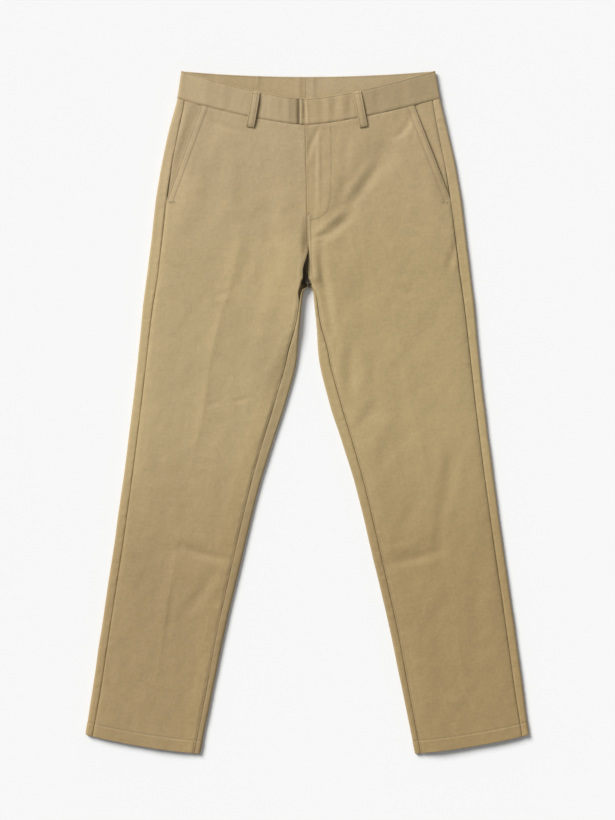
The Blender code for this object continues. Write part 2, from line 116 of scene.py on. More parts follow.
# One row for each section, from the top of the waistband to the hem. Outer is the half width at the outer
# fold, and left_extra is what the wearer's left has more. Outseam and inseam are how far in from the folds
# the seams lie. Inner and inner_y place the inner end, on the centre line above the crotch.
Section = namedtuple(
    "Section", "name level outer left_extra outseam inner inner_y inseam loft inner_height"
)
SECTIONS = tuple(Section(*row) for row in (
    ("band_top", 545.0, 201.5, 2.5, 12.0, 0.0, 500.0, 0.0, 12.0, 12.0),
    ("waist_seam", 500.5, 208.0, 4.0, 14.0, 0.0, 458.0, 0.0, 12.0, 12.0),
    ("high_hip", 451.0, 221.0, 2.5, 17.0, 0.0, 411.0, 0.0, 13.0, 12.0),
    ("hip", 397.0, 233.0, 3.0, 18.5, 0.0, 361.0, 0.0, 13.5, 11.5),
    ("pocket_foot", 340.0, 242.0, 3.5, 19.0, 0.0, 309.0, 0.0, 13.5, 9.5),
    ("seat", 280.0, 249.0, 4.0, 19.5, 0.0, 252.0, 0.0, 13.5, 6.6),
    ("crotch", 240.0, 254.0, 4.0, 19.5, 0.0, 213.0, 0.0, 13.0, 5.0),
    ("fork", 231.0, 255.0, 4.0, 19.5, 3.5, 204.0, 0.0, 12.8, 5.2),
    ("below_fork", 216.0, 257.0, 4.0, 19.5, 8.0, 190.0, 5.0, 12.6, 5.6),
    ("groin", 172.0, 262.5, 3.5, 18.0, 12.8, 147.0, 7.5, 12.4, 6.2),
    ("high_thigh", 112.0, 268.5, 3.0, 16.5, 17.6, 86.0, 18.0, 12.2, 6.6),
    ("mid_thigh", 45.0, 275.5, 3.0, 16.0, 34.0, 18.0, 19.5, 11.8, 6.8),
    ("low_thigh", -22.0, 283.5, 3.0, 16.0, 55.5, -49.0, 18.0, 11.4, 6.8),
    ("above_knee", -85.0, 291.5, 3.0, 16.0, 75.5, -113.0, 16.0, 11.0, 6.8),
    ("knee", -208.0, 308.5, 3.0, 16.0, 106.0, -238.0, 15.0, 10.4, 6.8),
    ("calf", -328.0, 326.5, 2.0, 15.5, 134.0, -358.0, 13.5, 10.0, 6.8),
    ("ankle", -425.0, 341.0, 1.0, 15.5, 153.5, -455.0, 12.0, 9.6, 6.8),
    ("hem", -515.0, 354.3, -0.8, 13.0, 172.0, -545.5, 11.0, 9.4, 6.8),
))
BY_LEVEL = tuple(reversed(SECTIONS))
SECTION = {section.name: section for section in SECTIONS}
WAIST_LEVEL = SECTION["waist_seam"].level
BAND_TOP_LEVEL = SECTION["band_top"].level
CROTCH_LEVEL = SECTION["crotch"].level
FORK_LEVEL = SECTION["fork"].level
HEM_LEVEL = SECTION["hem"].level
HEM_TOP = HEM_LEVEL + HEM_DEPTH

# Lines in the front, from one end to the other. Positive depths are sunk and negative ones raised. Bow is
# how far the middle of a line swings to its left. The folds are the solid's own. The creases lie on them.
Crease = namedtuple("Crease", "x0 y0 x1 y1 half_width depth bow", defaults=(0.0,))
FOLDS = tuple(Crease(*row) for row in (
    (122, 412, 46, 306, 20, 2.4),
    (160, 470, 132, 446, 16, 1.0),
    (-186, 472, -148, 460, 16, 0.9),
    (26, 190, 60, 60, 18, 1.4),
    (130, -240, 208, -217, 18, 1.2),
    (-200, -217, -130, -231, 18, 1.2),
))
CREASES = tuple(Crease(*row) for row in (
    # Wearer's left hip and thigh.
    (101, 405, 56, 341, 8.0, -1.1),
    (110, 398, 66, 334, 8.0, 0.9),
    (61, 330, 12, 288, 7.0, -0.9),
    (69, 319, 17, 276, 7.5, 1.4),
    (60, 462, 49, 338, 7.0, 0.6, -4),
    (162, 474, 133, 440, 5.5, 1.0, -6),
    (3, 268, 24, 128, 6.0, -1.5),
    (14, 268, 35, 128, 7.5, 2.4),
    (6, 279, 30, 287, 4.0, 0.8),
    (52, 134, 50, 20, 8.0, -0.8),
    (68, 134, 64, 20, 12.0, 1.2),
    (128, 200, 172, 193, 8.0, 0.5),
    (96, 228, 60, 163, 18.0, 0.6),
    (196, 172, 165, 84, 14.0, 0.8),
    (235, 272, 222, 230, 6.0, 1.2),
    (112, 22, 74, -27, 9.0, 0.9),
    (132, 2, 98, -52, 10.0, -0.7),
    (166, -24, 104, -86, 12.0, 0.7, 5),
    (205, -38, 211, -92, 9.0, -0.6),
    (243, -44, 211, -146, 11.0, 0.9, 4),
    (214, -138, 206, -202, 8.0, 0.8),
    (128, -238, 209, -217, 7.0, 1.0, 3),
    (128, -216, 172, -207, 7.0, -0.7, 2),
    (270, -222, 264, -342, 14.0, 0.8),
    (216, -298, 194, -332, 10.0, 0.5),
    (164, -384, 202, -391, 8.0, 0.4),
    (212, -454, 247, -461, 7.0, -0.4),
    (170, -120, 150, -190, 11.0, 0.5),
    # Wearer's right hip and leg.
    (-150, 404, -173, 302, 15.0, 0.7),
    (-92, 282, -119, 184, 12.0, 0.9),
    (-40, 262, -100, 20, 15.0, -0.8, 6),
    (-150, 187, -121, 194, 5.0, 0.5),
    (-163, 13, -137, 19, 4.0, 0.5),
    (-121, 19, -91, 24, 4.0, 0.5),
    (-186, -76, -149, -81, 6.0, 0.5),
    (-110, 451, -151, 464, 5.0, 0.7),
    (-200, 475, -172, 479, 4.0, 0.5),
    (-229, 270, -211, 248, 5.0, 0.6),
    (-216, 236, -199, 224, 5.0, 0.6),
    (-204, -212, -127, -233, 6.0, 1.1, 3),
    (-202, -198, -150, -208, 7.0, -0.5),
    (-147, -240, -206, -324, 9.0, 0.7, -5),
    (-171, -393, -196, -442, 8.0, 0.5),
    (-327, -426, -297, -463, 7.0, 0.6),
    (-215, -268, -237, -397, 7.0, 0.5),
    (-60, 60, -95, -40, 13.0, 0.6),
    (-70, 350, -60, 262, 14.0, 0.5),
    # Fly.
    (18, 457, 0, 409, 4.0, 0.9, 3),
    (17, 452, 16, 322, 3.2, -0.7),
    (24, 456, 33, 446, 3.0, 0.5),
    (11, 440, 11, 330, 3.5, 0.4),
))
# A crease's raised shoulders: their height as a share of its depth, and their place and width as shares
# of its half width. Its depth falls to a share at its ends. The lean carries it away from the light.
CREASE_SHOULDER = 0.28
SHOULDER_PLACE, SHOULDER_WIDTH = 1.7, 0.8
CREASE_END_SHARE, CREASE_FADE_POWER = 0.08, 0.8
LIGHT_LEAN = 0.6
AWAY_FROM_LIGHT = (0.69, -0.73)

# Waistband: soft ripples at the wearer's left, and the pressed end over the fly.
BAND_CREASES = tuple(Crease(*row) for row in (
    (20, 505, 24, 462, 5.0, 0.5),
    (31, 506, 34, 464, 4.5, -0.5),
    (43, 507, 45, 465, 5.0, 0.55),
    (55, 508, 57, 466, 5.0, -0.45),
    (66, 509, 69, 468, 4.5, 0.5),
    (-5, 502, -3, 458, 1.5, 1.0),
    (-9.5, 502, -9, 458, 1.8, -0.6),
    (-1.5, 502, 1, 458, 2.0, -0.5),
    (110, 516, 114, 480, 7.0, 0.35),
    (150, 530, 152, 490, 7.0, 0.3),
    (-40, 508, -38, 464, 7.0, 0.35),
    (-120, 524, -124, 480, 8.0, 0.35),
    (-60, 510, -58, 468, 6.0, -0.3),
))
BAND_CREASE_STRENGTH = 1.6

# How close to its inner and outer edge the front of each leg keeps its full loft. The right thigh keeps
# it right up to the edge between two pairs of levels, over which that fades out.
Fuller = namedtuple("Fuller", "inner_ramp inner_share outer_ramp outer_share")
FULLER = {RIGHT: Fuller(13.0, 1.0, 24.0, 0.6), LEFT: Fuller(17.0, 0.9, 24.0, 0.7)}
FULL_BELOW_LEVEL = 360.0
LEG_RAMP = {RIGHT: 26.0, LEFT: 13.0}
LEG_RAMP_LEVEL, LEG_RAMP_FADE = 190.0, 120.0
THIGH_RISE_TOP = (302.0, 268.0)
THIGH_RISE_FOOT = (84.0, 180.0)
FULL_FADE = 80.0

# Soft patches of painted highlight where the front is paler, or of painted shade where it is darker below
# 0.
Patch = namedtuple("Patch", "x y half_x half_y paler")
LIGHT_AND_SHADE_PATCHES = tuple(Patch(*row) for row in (
    (-42, 215, 30, 75, 1.0),
    (-118, 215, 22, 45, 0.6),
    (17, 234, 8, 42, -1.0),
    (52, 303, 20, 12, -0.9),
    (88, 346, 12, 22, -0.6),
    (-190, 350, 16, 30, 0.6),
    (200, -250, 60, 110, 0.25),
    (-195, -215, 50, 60, 0.3),
    (-20, 330, 40, 40, 0.4),
))

# Pressed leg creases, as points down each leg, with the height of the ridge.
Pressed = namedtuple("Pressed", "height points")
PRESSED = (
    Pressed(
        1.3, ((-104, 300), (-120, 210), (-140, 150), (-155, 85), (-165, 10), (-178, -50), (-188, -105))
    ),
    Pressed(1.0, ((-203, -190), (-218, -272), (-234, -379), (-243, -440))),
    Pressed(0.8, ((135, 170), (150, 90), (165, 15), (180, -50), (196, -135))),
    Pressed(0.7, ((236, -325), (245, -400), (252, -450))),
)
PRESSED_WIDTH = 9.0

# The fly's curved stitching, as points down the wearer's left front.
FLY_STITCH = (
    (37.0, 456), (37.6, 430), (37.4, 371), (36.6, 350), (35.5, 338), (31.5, 322), (22, 312), (9, 307),
    (2, 306),
)

# Needlework: each row's distance in from its edge, and the tacks' two ends.
POCKET_ROWS = (2.2, 10.4)
INSEAM_ROW = 2.4
CROTCH_ROWS = (1.3, 5.0)
CROTCH_STRENGTH = 1.3
BAND_ROW = 2.0
LOOP_ROW = 2.2
LOOP_TACK_ROWS = (3, -4)
SIDE_ROW = 2.0
SIDE_ROW_LEVELS = (268.0, 334.0)
SIDE_TACK_ENDS = {LEFT: (214, 334, 224, 333), RIGHT: (-222, 334, -211, 334)}
FLY_TACKS = ((0.5, 318, 0.5, 308), (6.0, 316, 6.0, 308))
TACK_PITCH, TACK_LEAN = 0.55, 0.25

# The dip of a row of stitches and its two lips, as depth and half width, and the lips' distance.
CHANNEL, LIP, LIP_PLACE = (0.28, 0.95), (0.10, 1.2), 2.2
# The ridge over a seam's allowance: its height, where it begins and ends, and the run of both slopes.
ALLOWANCE, ALLOWANCE_ENDS, ALLOWANCE_SLOPES = 0.28, (1.2, 11.0), (2.0, 4.0)
# The half width of a seam's turned-down line, and the painted shade along it.
ROLL_WIDTH, ROLL_SHADE = 1.0, 0.7
SEAM_ROLL = 0.5

# Uneven swells of the cloth, laid over each piece. Lean sets them aslant, as a share of Y added to X.
Swell = namedtuple("Swell", "height cell_x cell_y seed lean", defaults=(0.0,))
FRONT_SWELLS = (Swell(0.55, 30.0, 120.0, 5, 0.17), Swell(0.34, 15.0, 20.0, 15), Swell(0.11, 7.0, 8.0, 25))
BACK_SWELLS = (Swell(0.35, 50.0, 34.0, 91),)
FACING_SWELLS = (Swell(0.5, 14.0, 34.0, 111),)
BAND_SWELLS = (Swell(0.30, 16.0, 60.0, 131), Swell(0.10, 6.0, 14.0, 141))
BAND_LINING_SWELL = Swell(0.5, 22.0, 50.0, 151)

# Puckers beside a seam: how far they reach in, their height and the seed of their noise. The hems have a
# seed each, a second layer's height and puckers of their own.
Pucker = namedtuple("Pucker", "reach height seed")
INNER_PUCKER, OUTER_PUCKER = Pucker(8.0, 0.42, 31), Pucker(8.0, 0.36, 41)
WAIST_PUCKER = Pucker(7.0, 0.30, 51)
BACK_OUTER_PUCKER, BACK_INNER_PUCKER = Pucker(9.0, 0.45, 71), Pucker(9.0, 0.45, 81)
BAND_PUCKER = Pucker(8.0, 0.25, 121)
PUCKER_CELL, PUCKER_SLANT = (6.5, 9.0), (0.35, 0.15)
FRONT_HEM_SEED, BACK_HEM_SEED = 61, 101
HEM_FOLD, HEM_PUCKER, HEM_LEAN = 0.45, 0.22, 0.8

# How each front is set at its seams: the strength of its inner seam, the height and half width of its edge
# at the fly, and how far its pocket mouth gapes.
FrontSide = namedtuple("FrontSide", "seam fly_edge fly_width gape")
FRONT_SIDES = {RIGHT: FrontSide(0.45, -0.5, 1.6, 0.6), LEFT: FrontSide(1.0, 0.7, 3.5, 1.3)}
GAPE_WIDTH = 9.0
# Share of the creases that is left at a seam, and how far in they reach their full depth.
SEAM_CREASES, SEAM_REACH = 0.25, 6.0

# How the fork parts: the left front's edge sinks and the right one is set aside. The pairs of Y are where
# it begins and where it is full, from above and from below.
Parting = namedtuple("Parting", "depth half_width above below")
FORK_SINK = Parting(2.0, 4.5, (258.0, 224.0), (196.0, 208.0))
FORK_ASIDE = Parting(9.0, 16.0, (262.0, 224.0), (168.0, 212.0))
# The strip down the right inner thigh that the light catches, a painted highlight: in from the edge, half
# width, tone, Ys.
THIGH_STRIP, THIGH_STRIP_WIDTH, THIGH_STRIP_SHADE, THIGH_STRIP_YS = 16.0, 14.0, 1.1, (60.0, 0.0)

# Back cloth that shows at the fork: its drawing together, its painted shadow, and one dark spot of painted
# shadow below the crotch.
SEAT_ABOVE, SEAT_BELOW, SEAT_REACH = (224.0, 217.0), (196.0, 200.0), 22.0
SEAT_SHADE, SEAT_WIDTH = 4.2, 12.0
SPOT_X, SPOT_Y, SPOT_SHADE, MOST_SHADE = (-5.0, 9.0), (226.0, 20.0), 5.4, 5.6
# The strips of back cloth on the top face: paler beside the outseam and where they turn down, as painted
# highlight, and darker down the right inner strip, as painted shade.
OUTER_STRIP, INNER_STRIP = (40.0, 30.0), (30.0, 24.0)
OUTER_PALER = {RIGHT: 0.4, LEFT: 0.7}
INNER_DARKER, INNER_TURN_PALER, OUTER_TURN_PALER = 0.5, 1.8, 1.4
TURN_HEIGHTS = (5.2, 2.6)
# Painted shadow on each pocket facing along its mouth.
FACING_SHADE = {RIGHT: 1.0, LEFT: 3.0}

# The waistband: its dip beside the lapped end, and inside the back a seam and two tacks, each with painted
# shade in it. Then how full it is between its edges, and its darker left, which is painted shade, and its
# paler right, each growing over a run of X.
Bump = namedtuple("Bump", "x half_width height")
BAND_DIP = (Bump(-12.5, 3.6, -3.4), Bump(-24.0, 7.0, -0.8))
BAND_DIP_SHADE = (Bump(-13.5, 2.6, 2.4), Bump(-19.0, 8.0, 0.7))
LINING_RELIEF = (Bump(-77.0, 1.2, 1.2), Bump(-79.8, 1.6, -0.8), Bump(10.0, 2.5, 0.9), Bump(-12.0, 3.0, 0.9))
LINING_SHADE = (Bump(-77.0, 1.2, 2.0), Bump(10.0, 2.5, 0.9), Bump(-12.0, 3.0, 0.9))
BAND_FULLNESS, BAND_FULLNESS_REACH = 0.25, (2.5, 9.0)
BAND_LEFT_SHADE, BAND_LEFT_XS = 0.8, (40.0, 110.0)
BAND_RIGHT_PALER, BAND_RIGHT_XS = 0.3, (-30.0, -50.0)

# Columns and rows of the grids: in from a seam, across a loop's edge, a rim and a facing, and up a hem.
EDGE = np.array([0.0, 0.35, 0.8, 1.4, 2.1, 3.0, 4.2, 5.8, 8.0, 10.8, 14.0])
STRIP_EDGE = EDGE[:7]
LOOP_EDGE = np.array([0.0, 0.3, 0.8, 1.4, 2.2, 3.2, 4.6])
END_SHARES = np.array([0.2, 0.4, 0.58, 0.72, 0.83, 0.91, 0.97, 1.0])
FACING_SHARES = np.array(
    [0.03, 0.07, 0.12, 0.18, 0.26, 0.35, 0.45, 0.55, 0.65, 0.75, 0.84, 0.91, 0.96, 0.985, 1.0]
)
HEM_ROWS = np.array([0, 0.4, 1, 1.8, 3, 5, 7.5, 10, 12.5, 15, 16.8, 18, 19, 20, 21, 22, 23.5])
PANEL_PITCH = 2.9
FORK_ROWS, SEAT_ROWS = 5, 90
CENTRE_STEP = 12.0
INSEAM_ROOM = 0.4
# Points round a section, for a quarter of the inner fold, over the top and round the outer fold.
QUARTER, TOP, TURN = 12, 150, 30

# Side of the square of random heights behind the swells, and what keeps its cells' numbers above 0.
LATTICE, LATTICE_SHIFT = 64, 1000.0


def smoothstep(value):
    """0 below 0, 1 above 1, and an S curve between."""
    t = np.clip(value, 0.0, 1.0)
    return t * t * (3.0 - 2.0 * t)


def ramp(value, start, full):
    """0 at the start, 1 at the full value, and an S curve between, either way round."""
    return smoothstep((value - start) / (full - start))


def bell(distance, half_width):
    """1 on a line, falling off on both sides as the exponential of minus the squared share of the width."""
    return np.exp(-((distance / half_width) ** 2))


def bumps(x, rows):
    """The sum of a table of bells across X."""
    return sum(row.height * bell(x - row.x, row.half_width) for row in rows)


def travelled(points):
    """How far along its line each point is. The last axis but one runs along the line."""
    steps = np.linalg.norm(np.diff(points, axis=-2), axis=-1)
    return np.concatenate([np.zeros((*steps.shape[:-1], 1)), np.cumsum(steps, axis=-1)], axis=-1)


def rows_interp(wanted, known, values):
    """Interpolates each row of values at its own wanted places. The rows are set end to end, far apart."""
    rows = len(known)
    wanted = np.broadcast_to(wanted, (rows, np.shape(wanted)[-1]))
    far = 4.0 * (np.abs(known).max() + 1.0)
    shift = np.arange(rows)[:, None] * far
    inside = np.clip(wanted, known[:, :1], known[:, -1:])
    found = np.interp((inside + shift).ravel(), (known + shift).ravel(), values.ravel())
    return found.reshape(inside.shape)


def smooth_column(levels, column):
    """A column of SECTIONS at many levels: a cubic curve through its rows that never overshoots them."""
    at = np.array([section.level for section in BY_LEVEL])
    values = np.array([getattr(section, column) for section in BY_LEVEL])
    steps = np.diff(at)
    slopes = np.diff(values) / steps
    same_way = slopes[:-1] * slopes[1:] > 0
    sums = np.where(same_way, slopes[:-1] + slopes[1:], 1.0)
    middle = np.where(same_way, 2.0 * slopes[:-1] * slopes[1:] / sums, 0.0)
    tangents = np.concatenate([slopes[:1], middle, slopes[-1:]])
    i = np.clip(np.searchsorted(at, levels) - 1, 0, len(steps) - 1)
    t = (levels - at[i]) / steps[i]
    start = values[i] * (1 + 2 * t) * (1 - t) ** 2 + values[i + 1] * t * t * (3 - 2 * t)
    return start + steps[i] * t * (1 - t) * (tangents[i] * (1 - t) - tangents[i + 1] * t)


def centre_x(y):
    """The centre front line, which leans a little to the wearer's right at the waist."""
    waist_y, crotch_y = SECTION["waist_seam"].inner_y, SECTION["crotch"].inner_y
    above = np.clip((y - crotch_y) / (waist_y - crotch_y), 0.0, 1.0)
    in_leg = np.clip((crotch_y - y) / crotch_y, 0.0, 1.0)
    return (CENTRE_AT_CROTCH + (CENTRE_AT_WAIST - CENTRE_AT_CROTCH) * above) * (1.0 - in_leg)


def crease_relief(x, y, creases, shoulder=0.0, tapered=True, light_lean=0.0):
    """Height of a set of creases: a bell across each line, which swings by its bow, with a shoulder on
    both sides. Tapered ones follow a half sine from end to end. Each lies the lean's share of its half
    width further from the light than its row says, as its darkest line is the side nearest the light."""
    height = np.zeros(np.broadcast(x, y).shape)
    for crease in creases:
        run = np.array([crease.x1 - crease.x0, crease.y1 - crease.y0], dtype=float)
        length = float(np.hypot(*run))
        lean = light_lean * crease.half_width
        from_x = x - crease.x0 - AWAY_FROM_LIGHT[0] * lean
        from_y = y - crease.y0 - AWAY_FROM_LIGHT[1] * lean
        share = (from_x * run[0] + from_y * run[1]) / length ** 2
        across = (from_x * run[1] - from_y * run[0]) / length
        inside = np.clip(share, 0.0, 1.0)
        across = across - crease.bow * 4.0 * inside * (1.0 - inside)
        past = (share - inside) * length
        turn = np.pi * (CREASE_END_SHARE + (1.0 - 2.0 * CREASE_END_SHARE) * inside)
        fade = np.sin(turn) ** CREASE_FADE_POWER if tapered else 1.0
        width = crease.half_width
        near = bell(np.hypot(across, past), width)
        beside = bell(np.abs(across) - SHOULDER_PLACE * width, SHOULDER_WIDTH * width) * bell(past, width)
        height += crease.depth * fade * (shoulder * beside - near)
    return height


def line_distance(x, y, points):
    """Distance from each place to a line of points, and how far along it the nearest place is, 0 to 1."""
    points = np.array(points, dtype=float)
    before = travelled(points)
    best = np.full(np.shape(x), np.inf)
    along = np.zeros(np.shape(x))
    for start, run, step, done in zip(points, np.diff(points, axis=0), np.diff(before), before):
        from_x, from_y = x - start[0], y - start[1]
        share = np.clip((from_x * run[0] + from_y * run[1]) / step ** 2, 0.0, 1.0)
        away = np.hypot(from_x - share * run[0], from_y - share * run[1])
        nearer = away < best
        best = np.where(nearer, away, best)
        along = np.where(nearer, (done + share * step) / before[-1], along)
    return best, along


def soft_noise(x, y, cell_x, cell_y, seed):
    """Smooth uneven swells, from -1 to 1: random heights on a lattice, joined by S curves both ways."""
    heights = np.random.default_rng(seed).uniform(-1.0, 1.0, (LATTICE, LATTICE))
    u, v = x / cell_x + LATTICE_SHIFT, y / cell_y + LATTICE_SHIFT
    i, j = np.floor(u).astype(int), np.floor(v).astype(int)
    s, t = smoothstep(u - i), smoothstep(v - j)
    i0, i1, j0, j1 = i % LATTICE, (i + 1) % LATTICE, j % LATTICE, (j + 1) % LATTICE
    low = heights[i0, j0] * (1 - s) + heights[i1, j0] * s
    high = heights[i0, j1] * (1 - s) + heights[i1, j1] * s
    return low * (1 - t) + high * t


class Tube:
    """The outer face of the cloth of one side, as a curve round each section, measured by its length.

    The curve starts at the inner end of the front, runs over the dome, round the outer fold and back along
    the underside. In a leg it goes on round the inner fold and over its own start.
    """

    def __init__(self, side, levels):
        self.side = side
        self.levels = np.asarray(levels, dtype=float)[:, None]
        for name in Section._fields[2:]:
            setattr(self, name, smooth_column(self.levels, name))
        if side == LEFT:
            self.outer = self.outer + self.left_extra
        is_leg = self.levels < CROTCH_LEVEL
        self.is_leg = is_leg
        self.inner = np.where(is_leg, self.inner, 0.0)
        self.low = BACK_LIFT * ramp(self.levels, LIFT_START_LEVEL, LIFT_FULL_LEVEL)
        self.width = self.outer - self.inner
        self.radius = np.where(is_leg, self.inner_height / 2, 0.0)
        quarter = np.linspace(0.0, np.pi / 2, QUARTER)[None, :]
        turn = np.linspace(np.pi / 2, -np.pi / 2, TURN)[None, :]
        top = self.radius + (self.width - OUTER_FOLD - self.radius) * np.linspace(0.0, 1.0, TOP)[None, :]
        flat = np.zeros(top.shape)
        rising = (
            self.radius * (1 - np.cos(quarter)),
            np.where(is_leg, self.radius * np.sin(quarter) + self.radius, self.inner_height),
        )
        falling = (
            self.radius * (1 - np.sin(quarter)),
            np.where(is_leg, self.radius * (1 - np.cos(quarter)), self.low),
        )
        again = (rising[0], np.where(is_leg, rising[1], self.low))
        over = (top, self.dome_height(top))
        round_fold = (
            self.width - OUTER_FOLD + OUTER_FOLD * np.cos(turn),
            self.low + OUTER_FOLD * (1 + np.sin(turn)),
        )
        below = (top[:, ::-1], flat + self.low)
        runs = (rising, over, round_fold, below, falling, again, over)
        self.across = np.concatenate([run[0] for run in runs], axis=1)
        self.height = np.concatenate([run[1] for run in runs], axis=1)
        self.length = travelled(np.stack([self.across, self.height], axis=-1))
        ends = np.cumsum([run[0].shape[1] for run in runs]) - 1
        marks = [self.length[:, end][:, None] for end in ends]
        self.inner_top, self.fold_top, self.fold_under, self.under_end, self.inner_edge = marks[:5]
        self.outseam_at = self.fold_top + OUTER_FOLD * np.pi / 2 - self.outseam
        self.top_run = ends[1] + 1

    def x_at(self, across):
        """X along a section. The lean of the centre line dies out towards the outer fold."""
        lean = centre_x(self.inner_y) * (1.0 - across / self.width)
        return lean + self.side * (self.inner + across)

    def y_at(self, across, under):
        """Y along a section. Under is 0 on the front and 1 on the back, whose centre is cut higher."""
        share = np.abs(across) / self.width
        bow = HEM_BOW * ramp(self.levels, BOW_END_LEVEL, HEM_LEVEL)
        hip = ramp(self.levels, CROTCH_LEVEL, WAIST_LEVEL)
        rise = self.levels - self.inner_y
        front = self.inner_y + rise * share ** (1.0 + (WAIST_CURVE - 1.0) * hip)
        back_y = self.inner_y + BACK_RISE * hip
        back = back_y + (self.levels - back_y) * share ** (1.0 + (BACK_CURVE - 1.0) * hip)
        return front + (back - front) * under - bow * 4.0 * share * (1.0 - share)

    def dome_height(self, across):
        """Height of the front: its inner height, up to the loft, down to the outer fold, less the folds."""
        edge = self.low + 2 * OUTER_FOLD
        from_inner = smoothstep((np.abs(across) - self.radius) / DOME_RAMP)
        from_outer = smoothstep((self.width - OUTER_FOLD - across) / DOME_RAMP)
        inner = self.inner_height + (self.loft - self.inner_height) * from_inner
        outer = edge + (self.loft - edge) * from_outer
        relief = crease_relief(self.x_at(across), self.y_at(across, 0.0), FOLDS, tapered=False)
        return np.minimum(inner, outer) + relief * from_outer * from_inner ** 0.5

    def world(self, across, height, under):
        """World points from places across each section and their heights."""
        x = self.x_at(across)
        y = self.y_at(across, under)
        return np.stack([x, y, np.broadcast_to(height, x.shape)], axis=-1)

    def points(self, lengths):
        """World points of the outer face at these lengths round each section."""
        across = rows_interp(lengths, self.length, self.across)
        height = rows_interp(lengths, self.length, self.height)
        under = ramp(lengths, self.fold_top, self.fold_under)
        return self.world(across, height, under)

    def pocket_edge(self):
        """Length at which each section crosses the pocket mouth, or the outseam below the pocket."""
        across = self.across[:, : self.top_run]
        x = np.abs(self.x_at(across))
        y = self.y_at(across, 0.0)
        down = (POCKET_TOP[1] - y) / (POCKET_TOP[1] - POCKET_FOOT[1])
        extra = self.left_extra * down if self.side == LEFT else 0.0
        mouth = POCKET_TOP[0] + (POCKET_FOOT[0] - POCKET_TOP[0]) * down + extra
        past_mouth = np.maximum.accumulate(x - mouth, axis=1)
        crossing = rows_interp(np.zeros((1, 1)), past_mouth, self.length[:, : self.top_run])
        return np.minimum(crossing, self.outseam_at)


def panel_levels():
    """Levels of a panel's rows: close together at the hem, the crotch and the waist seam."""
    hem = HEM_LEVEL + HEM_ROWS
    leg = np.arange(hem[-1] + PANEL_PITCH, FORK_LEVEL - 1.0, PANEL_PITCH)
    fork = np.linspace(FORK_LEVEL, CROTCH_LEVEL, FORK_ROWS)
    end = WAIST_LEVEL - SEAM_GAP / 2 - EDGE[8::-1]
    seat = np.linspace(CROTCH_LEVEL, end[0], SEAT_ROWS)[1:-1]
    return np.concatenate([hem, leg, fork, seat, end])


def even_columns(start, end, count):
    """Lengths from start to end in equal steps, leaving out the start."""
    return start + (end - start) * (np.arange(1, count + 1) / count)[None, :]


def blended_fork(levels, values):
    """Rows between the fork and the crotch made straight between the two, as the tube divides there."""
    low = int(np.argmin(np.abs(levels - FORK_LEVEL)))
    high = int(np.argmin(np.abs(levels - CROTCH_LEVEL)))
    share = (levels[low : high + 1] - levels[low]) / (levels[high] - levels[low])
    share = share.reshape(-1, *([1] * (values.ndim - 1)))
    values = values.copy()
    values[low : high + 1] = values[low] + (values[high] - values[low]) * share
    return values


def normals_of(points, side):
    """Outward unit normals of a grid: the cross product of its steps along columns and rows."""
    across = np.gradient(points, axis=1)
    up = np.gradient(points, axis=0)
    normal = side * np.cross(across, up)
    return normal / np.maximum(np.linalg.norm(normal, axis=-1, keepdims=True), 1e-12)


def rounded(distance, radius):
    """How far a wall's face drops towards its rim, as a quarter circle of that radius."""
    inside = np.clip(distance / radius, 0.0, 1.0)
    return radius * (1.0 - np.sqrt(1.0 - (1.0 - inside) ** 2))


def grid_quads(rows, columns, first=0):
    """Corner numbers of the cells of a grid whose points are numbered row by row."""
    corner = first + (np.arange(rows - 1)[:, None] * columns + np.arange(columns - 1)[None, :]).ravel()
    return np.stack([corner, corner + 1, corner + columns + 1, corner + columns], axis=1)


def add_mesh(name, vertices, groups, material, values=None, uv=None):
    """A smooth mesh object from whole arrays: points in millimetres, and groups of faces, each group with
    its own number of corners. Values are numbers for the points, and UV is the place on the flat cloth."""
    mesh = bpy.data.meshes.new(name)
    corners = np.concatenate([group.ravel() for group in groups]).astype(np.int32)
    counts = np.concatenate([np.full(len(group), group.shape[1]) for group in groups])
    starts = np.concatenate([[0], np.cumsum(counts)[:-1]]).astype(np.int32)
    mesh.vertices.add(len(vertices))
    mesh.vertices.foreach_set("co", (vertices * MM).astype(np.float32).ravel())
    mesh.loops.add(len(corners))
    mesh.loops.foreach_set("vertex_index", corners)
    mesh.polygons.add(len(counts))
    mesh.polygons.foreach_set("loop_start", starts)
    mesh.polygons.foreach_set("use_smooth", np.full(len(counts), True))
    mesh.update(calc_edges=True)
    if uv is not None:
        layer = mesh.uv_layers.new(name="Cloth")
        layer.data.foreach_set("uv", (uv[corners] * MM).astype(np.float32).ravel())
    for key, value in (values or {}).items():
        attribute = mesh.attributes.new(key, "FLOAT", "POINT")
        attribute.data.foreach_set("value", value.astype(np.float32).ravel())
    mesh.validate()
    mesh.materials.append(material)
    made = bpy.data.objects.new(name, mesh)
    bpy.context.scene.collection.objects.link(made)
    return made


def add_shell(name, side, outer, inner, uv, shade, material):
    """A closed wall of cloth between an outer and an inner grid, joined round its rim."""
    rows, columns = outer.shape[:2]
    total = rows * columns
    face = grid_quads(rows, columns)
    under = grid_quads(rows, columns, total)[:, ::-1]
    bottom = np.arange(columns)
    top = bottom + (rows - 1) * columns
    left = np.arange(rows) * columns
    right = left + columns - 1
    rims = []
    for rim, forward in ((bottom, True), (top, False), (left, False), (right, True)):
        a, b = (rim[:-1], rim[1:]) if forward else (rim[1:], rim[:-1])
        rims.append(np.stack([b, a, a + total, b + total], axis=1))
    quads = np.concatenate([face, under, *rims])
    if side < 0:
        quads = quads[:, ::-1]
    vertices = np.concatenate([outer.reshape(-1, 3), inner.reshape(-1, 3)])
    uv = np.concatenate([uv.reshape(-1, 2)] * 2)
    shade = np.concatenate([shade.ravel()] * 2)
    return add_mesh(name, vertices, [quads], material, {"Shade": shade}, uv)


Surface = namedtuple("Surface", "points normals")


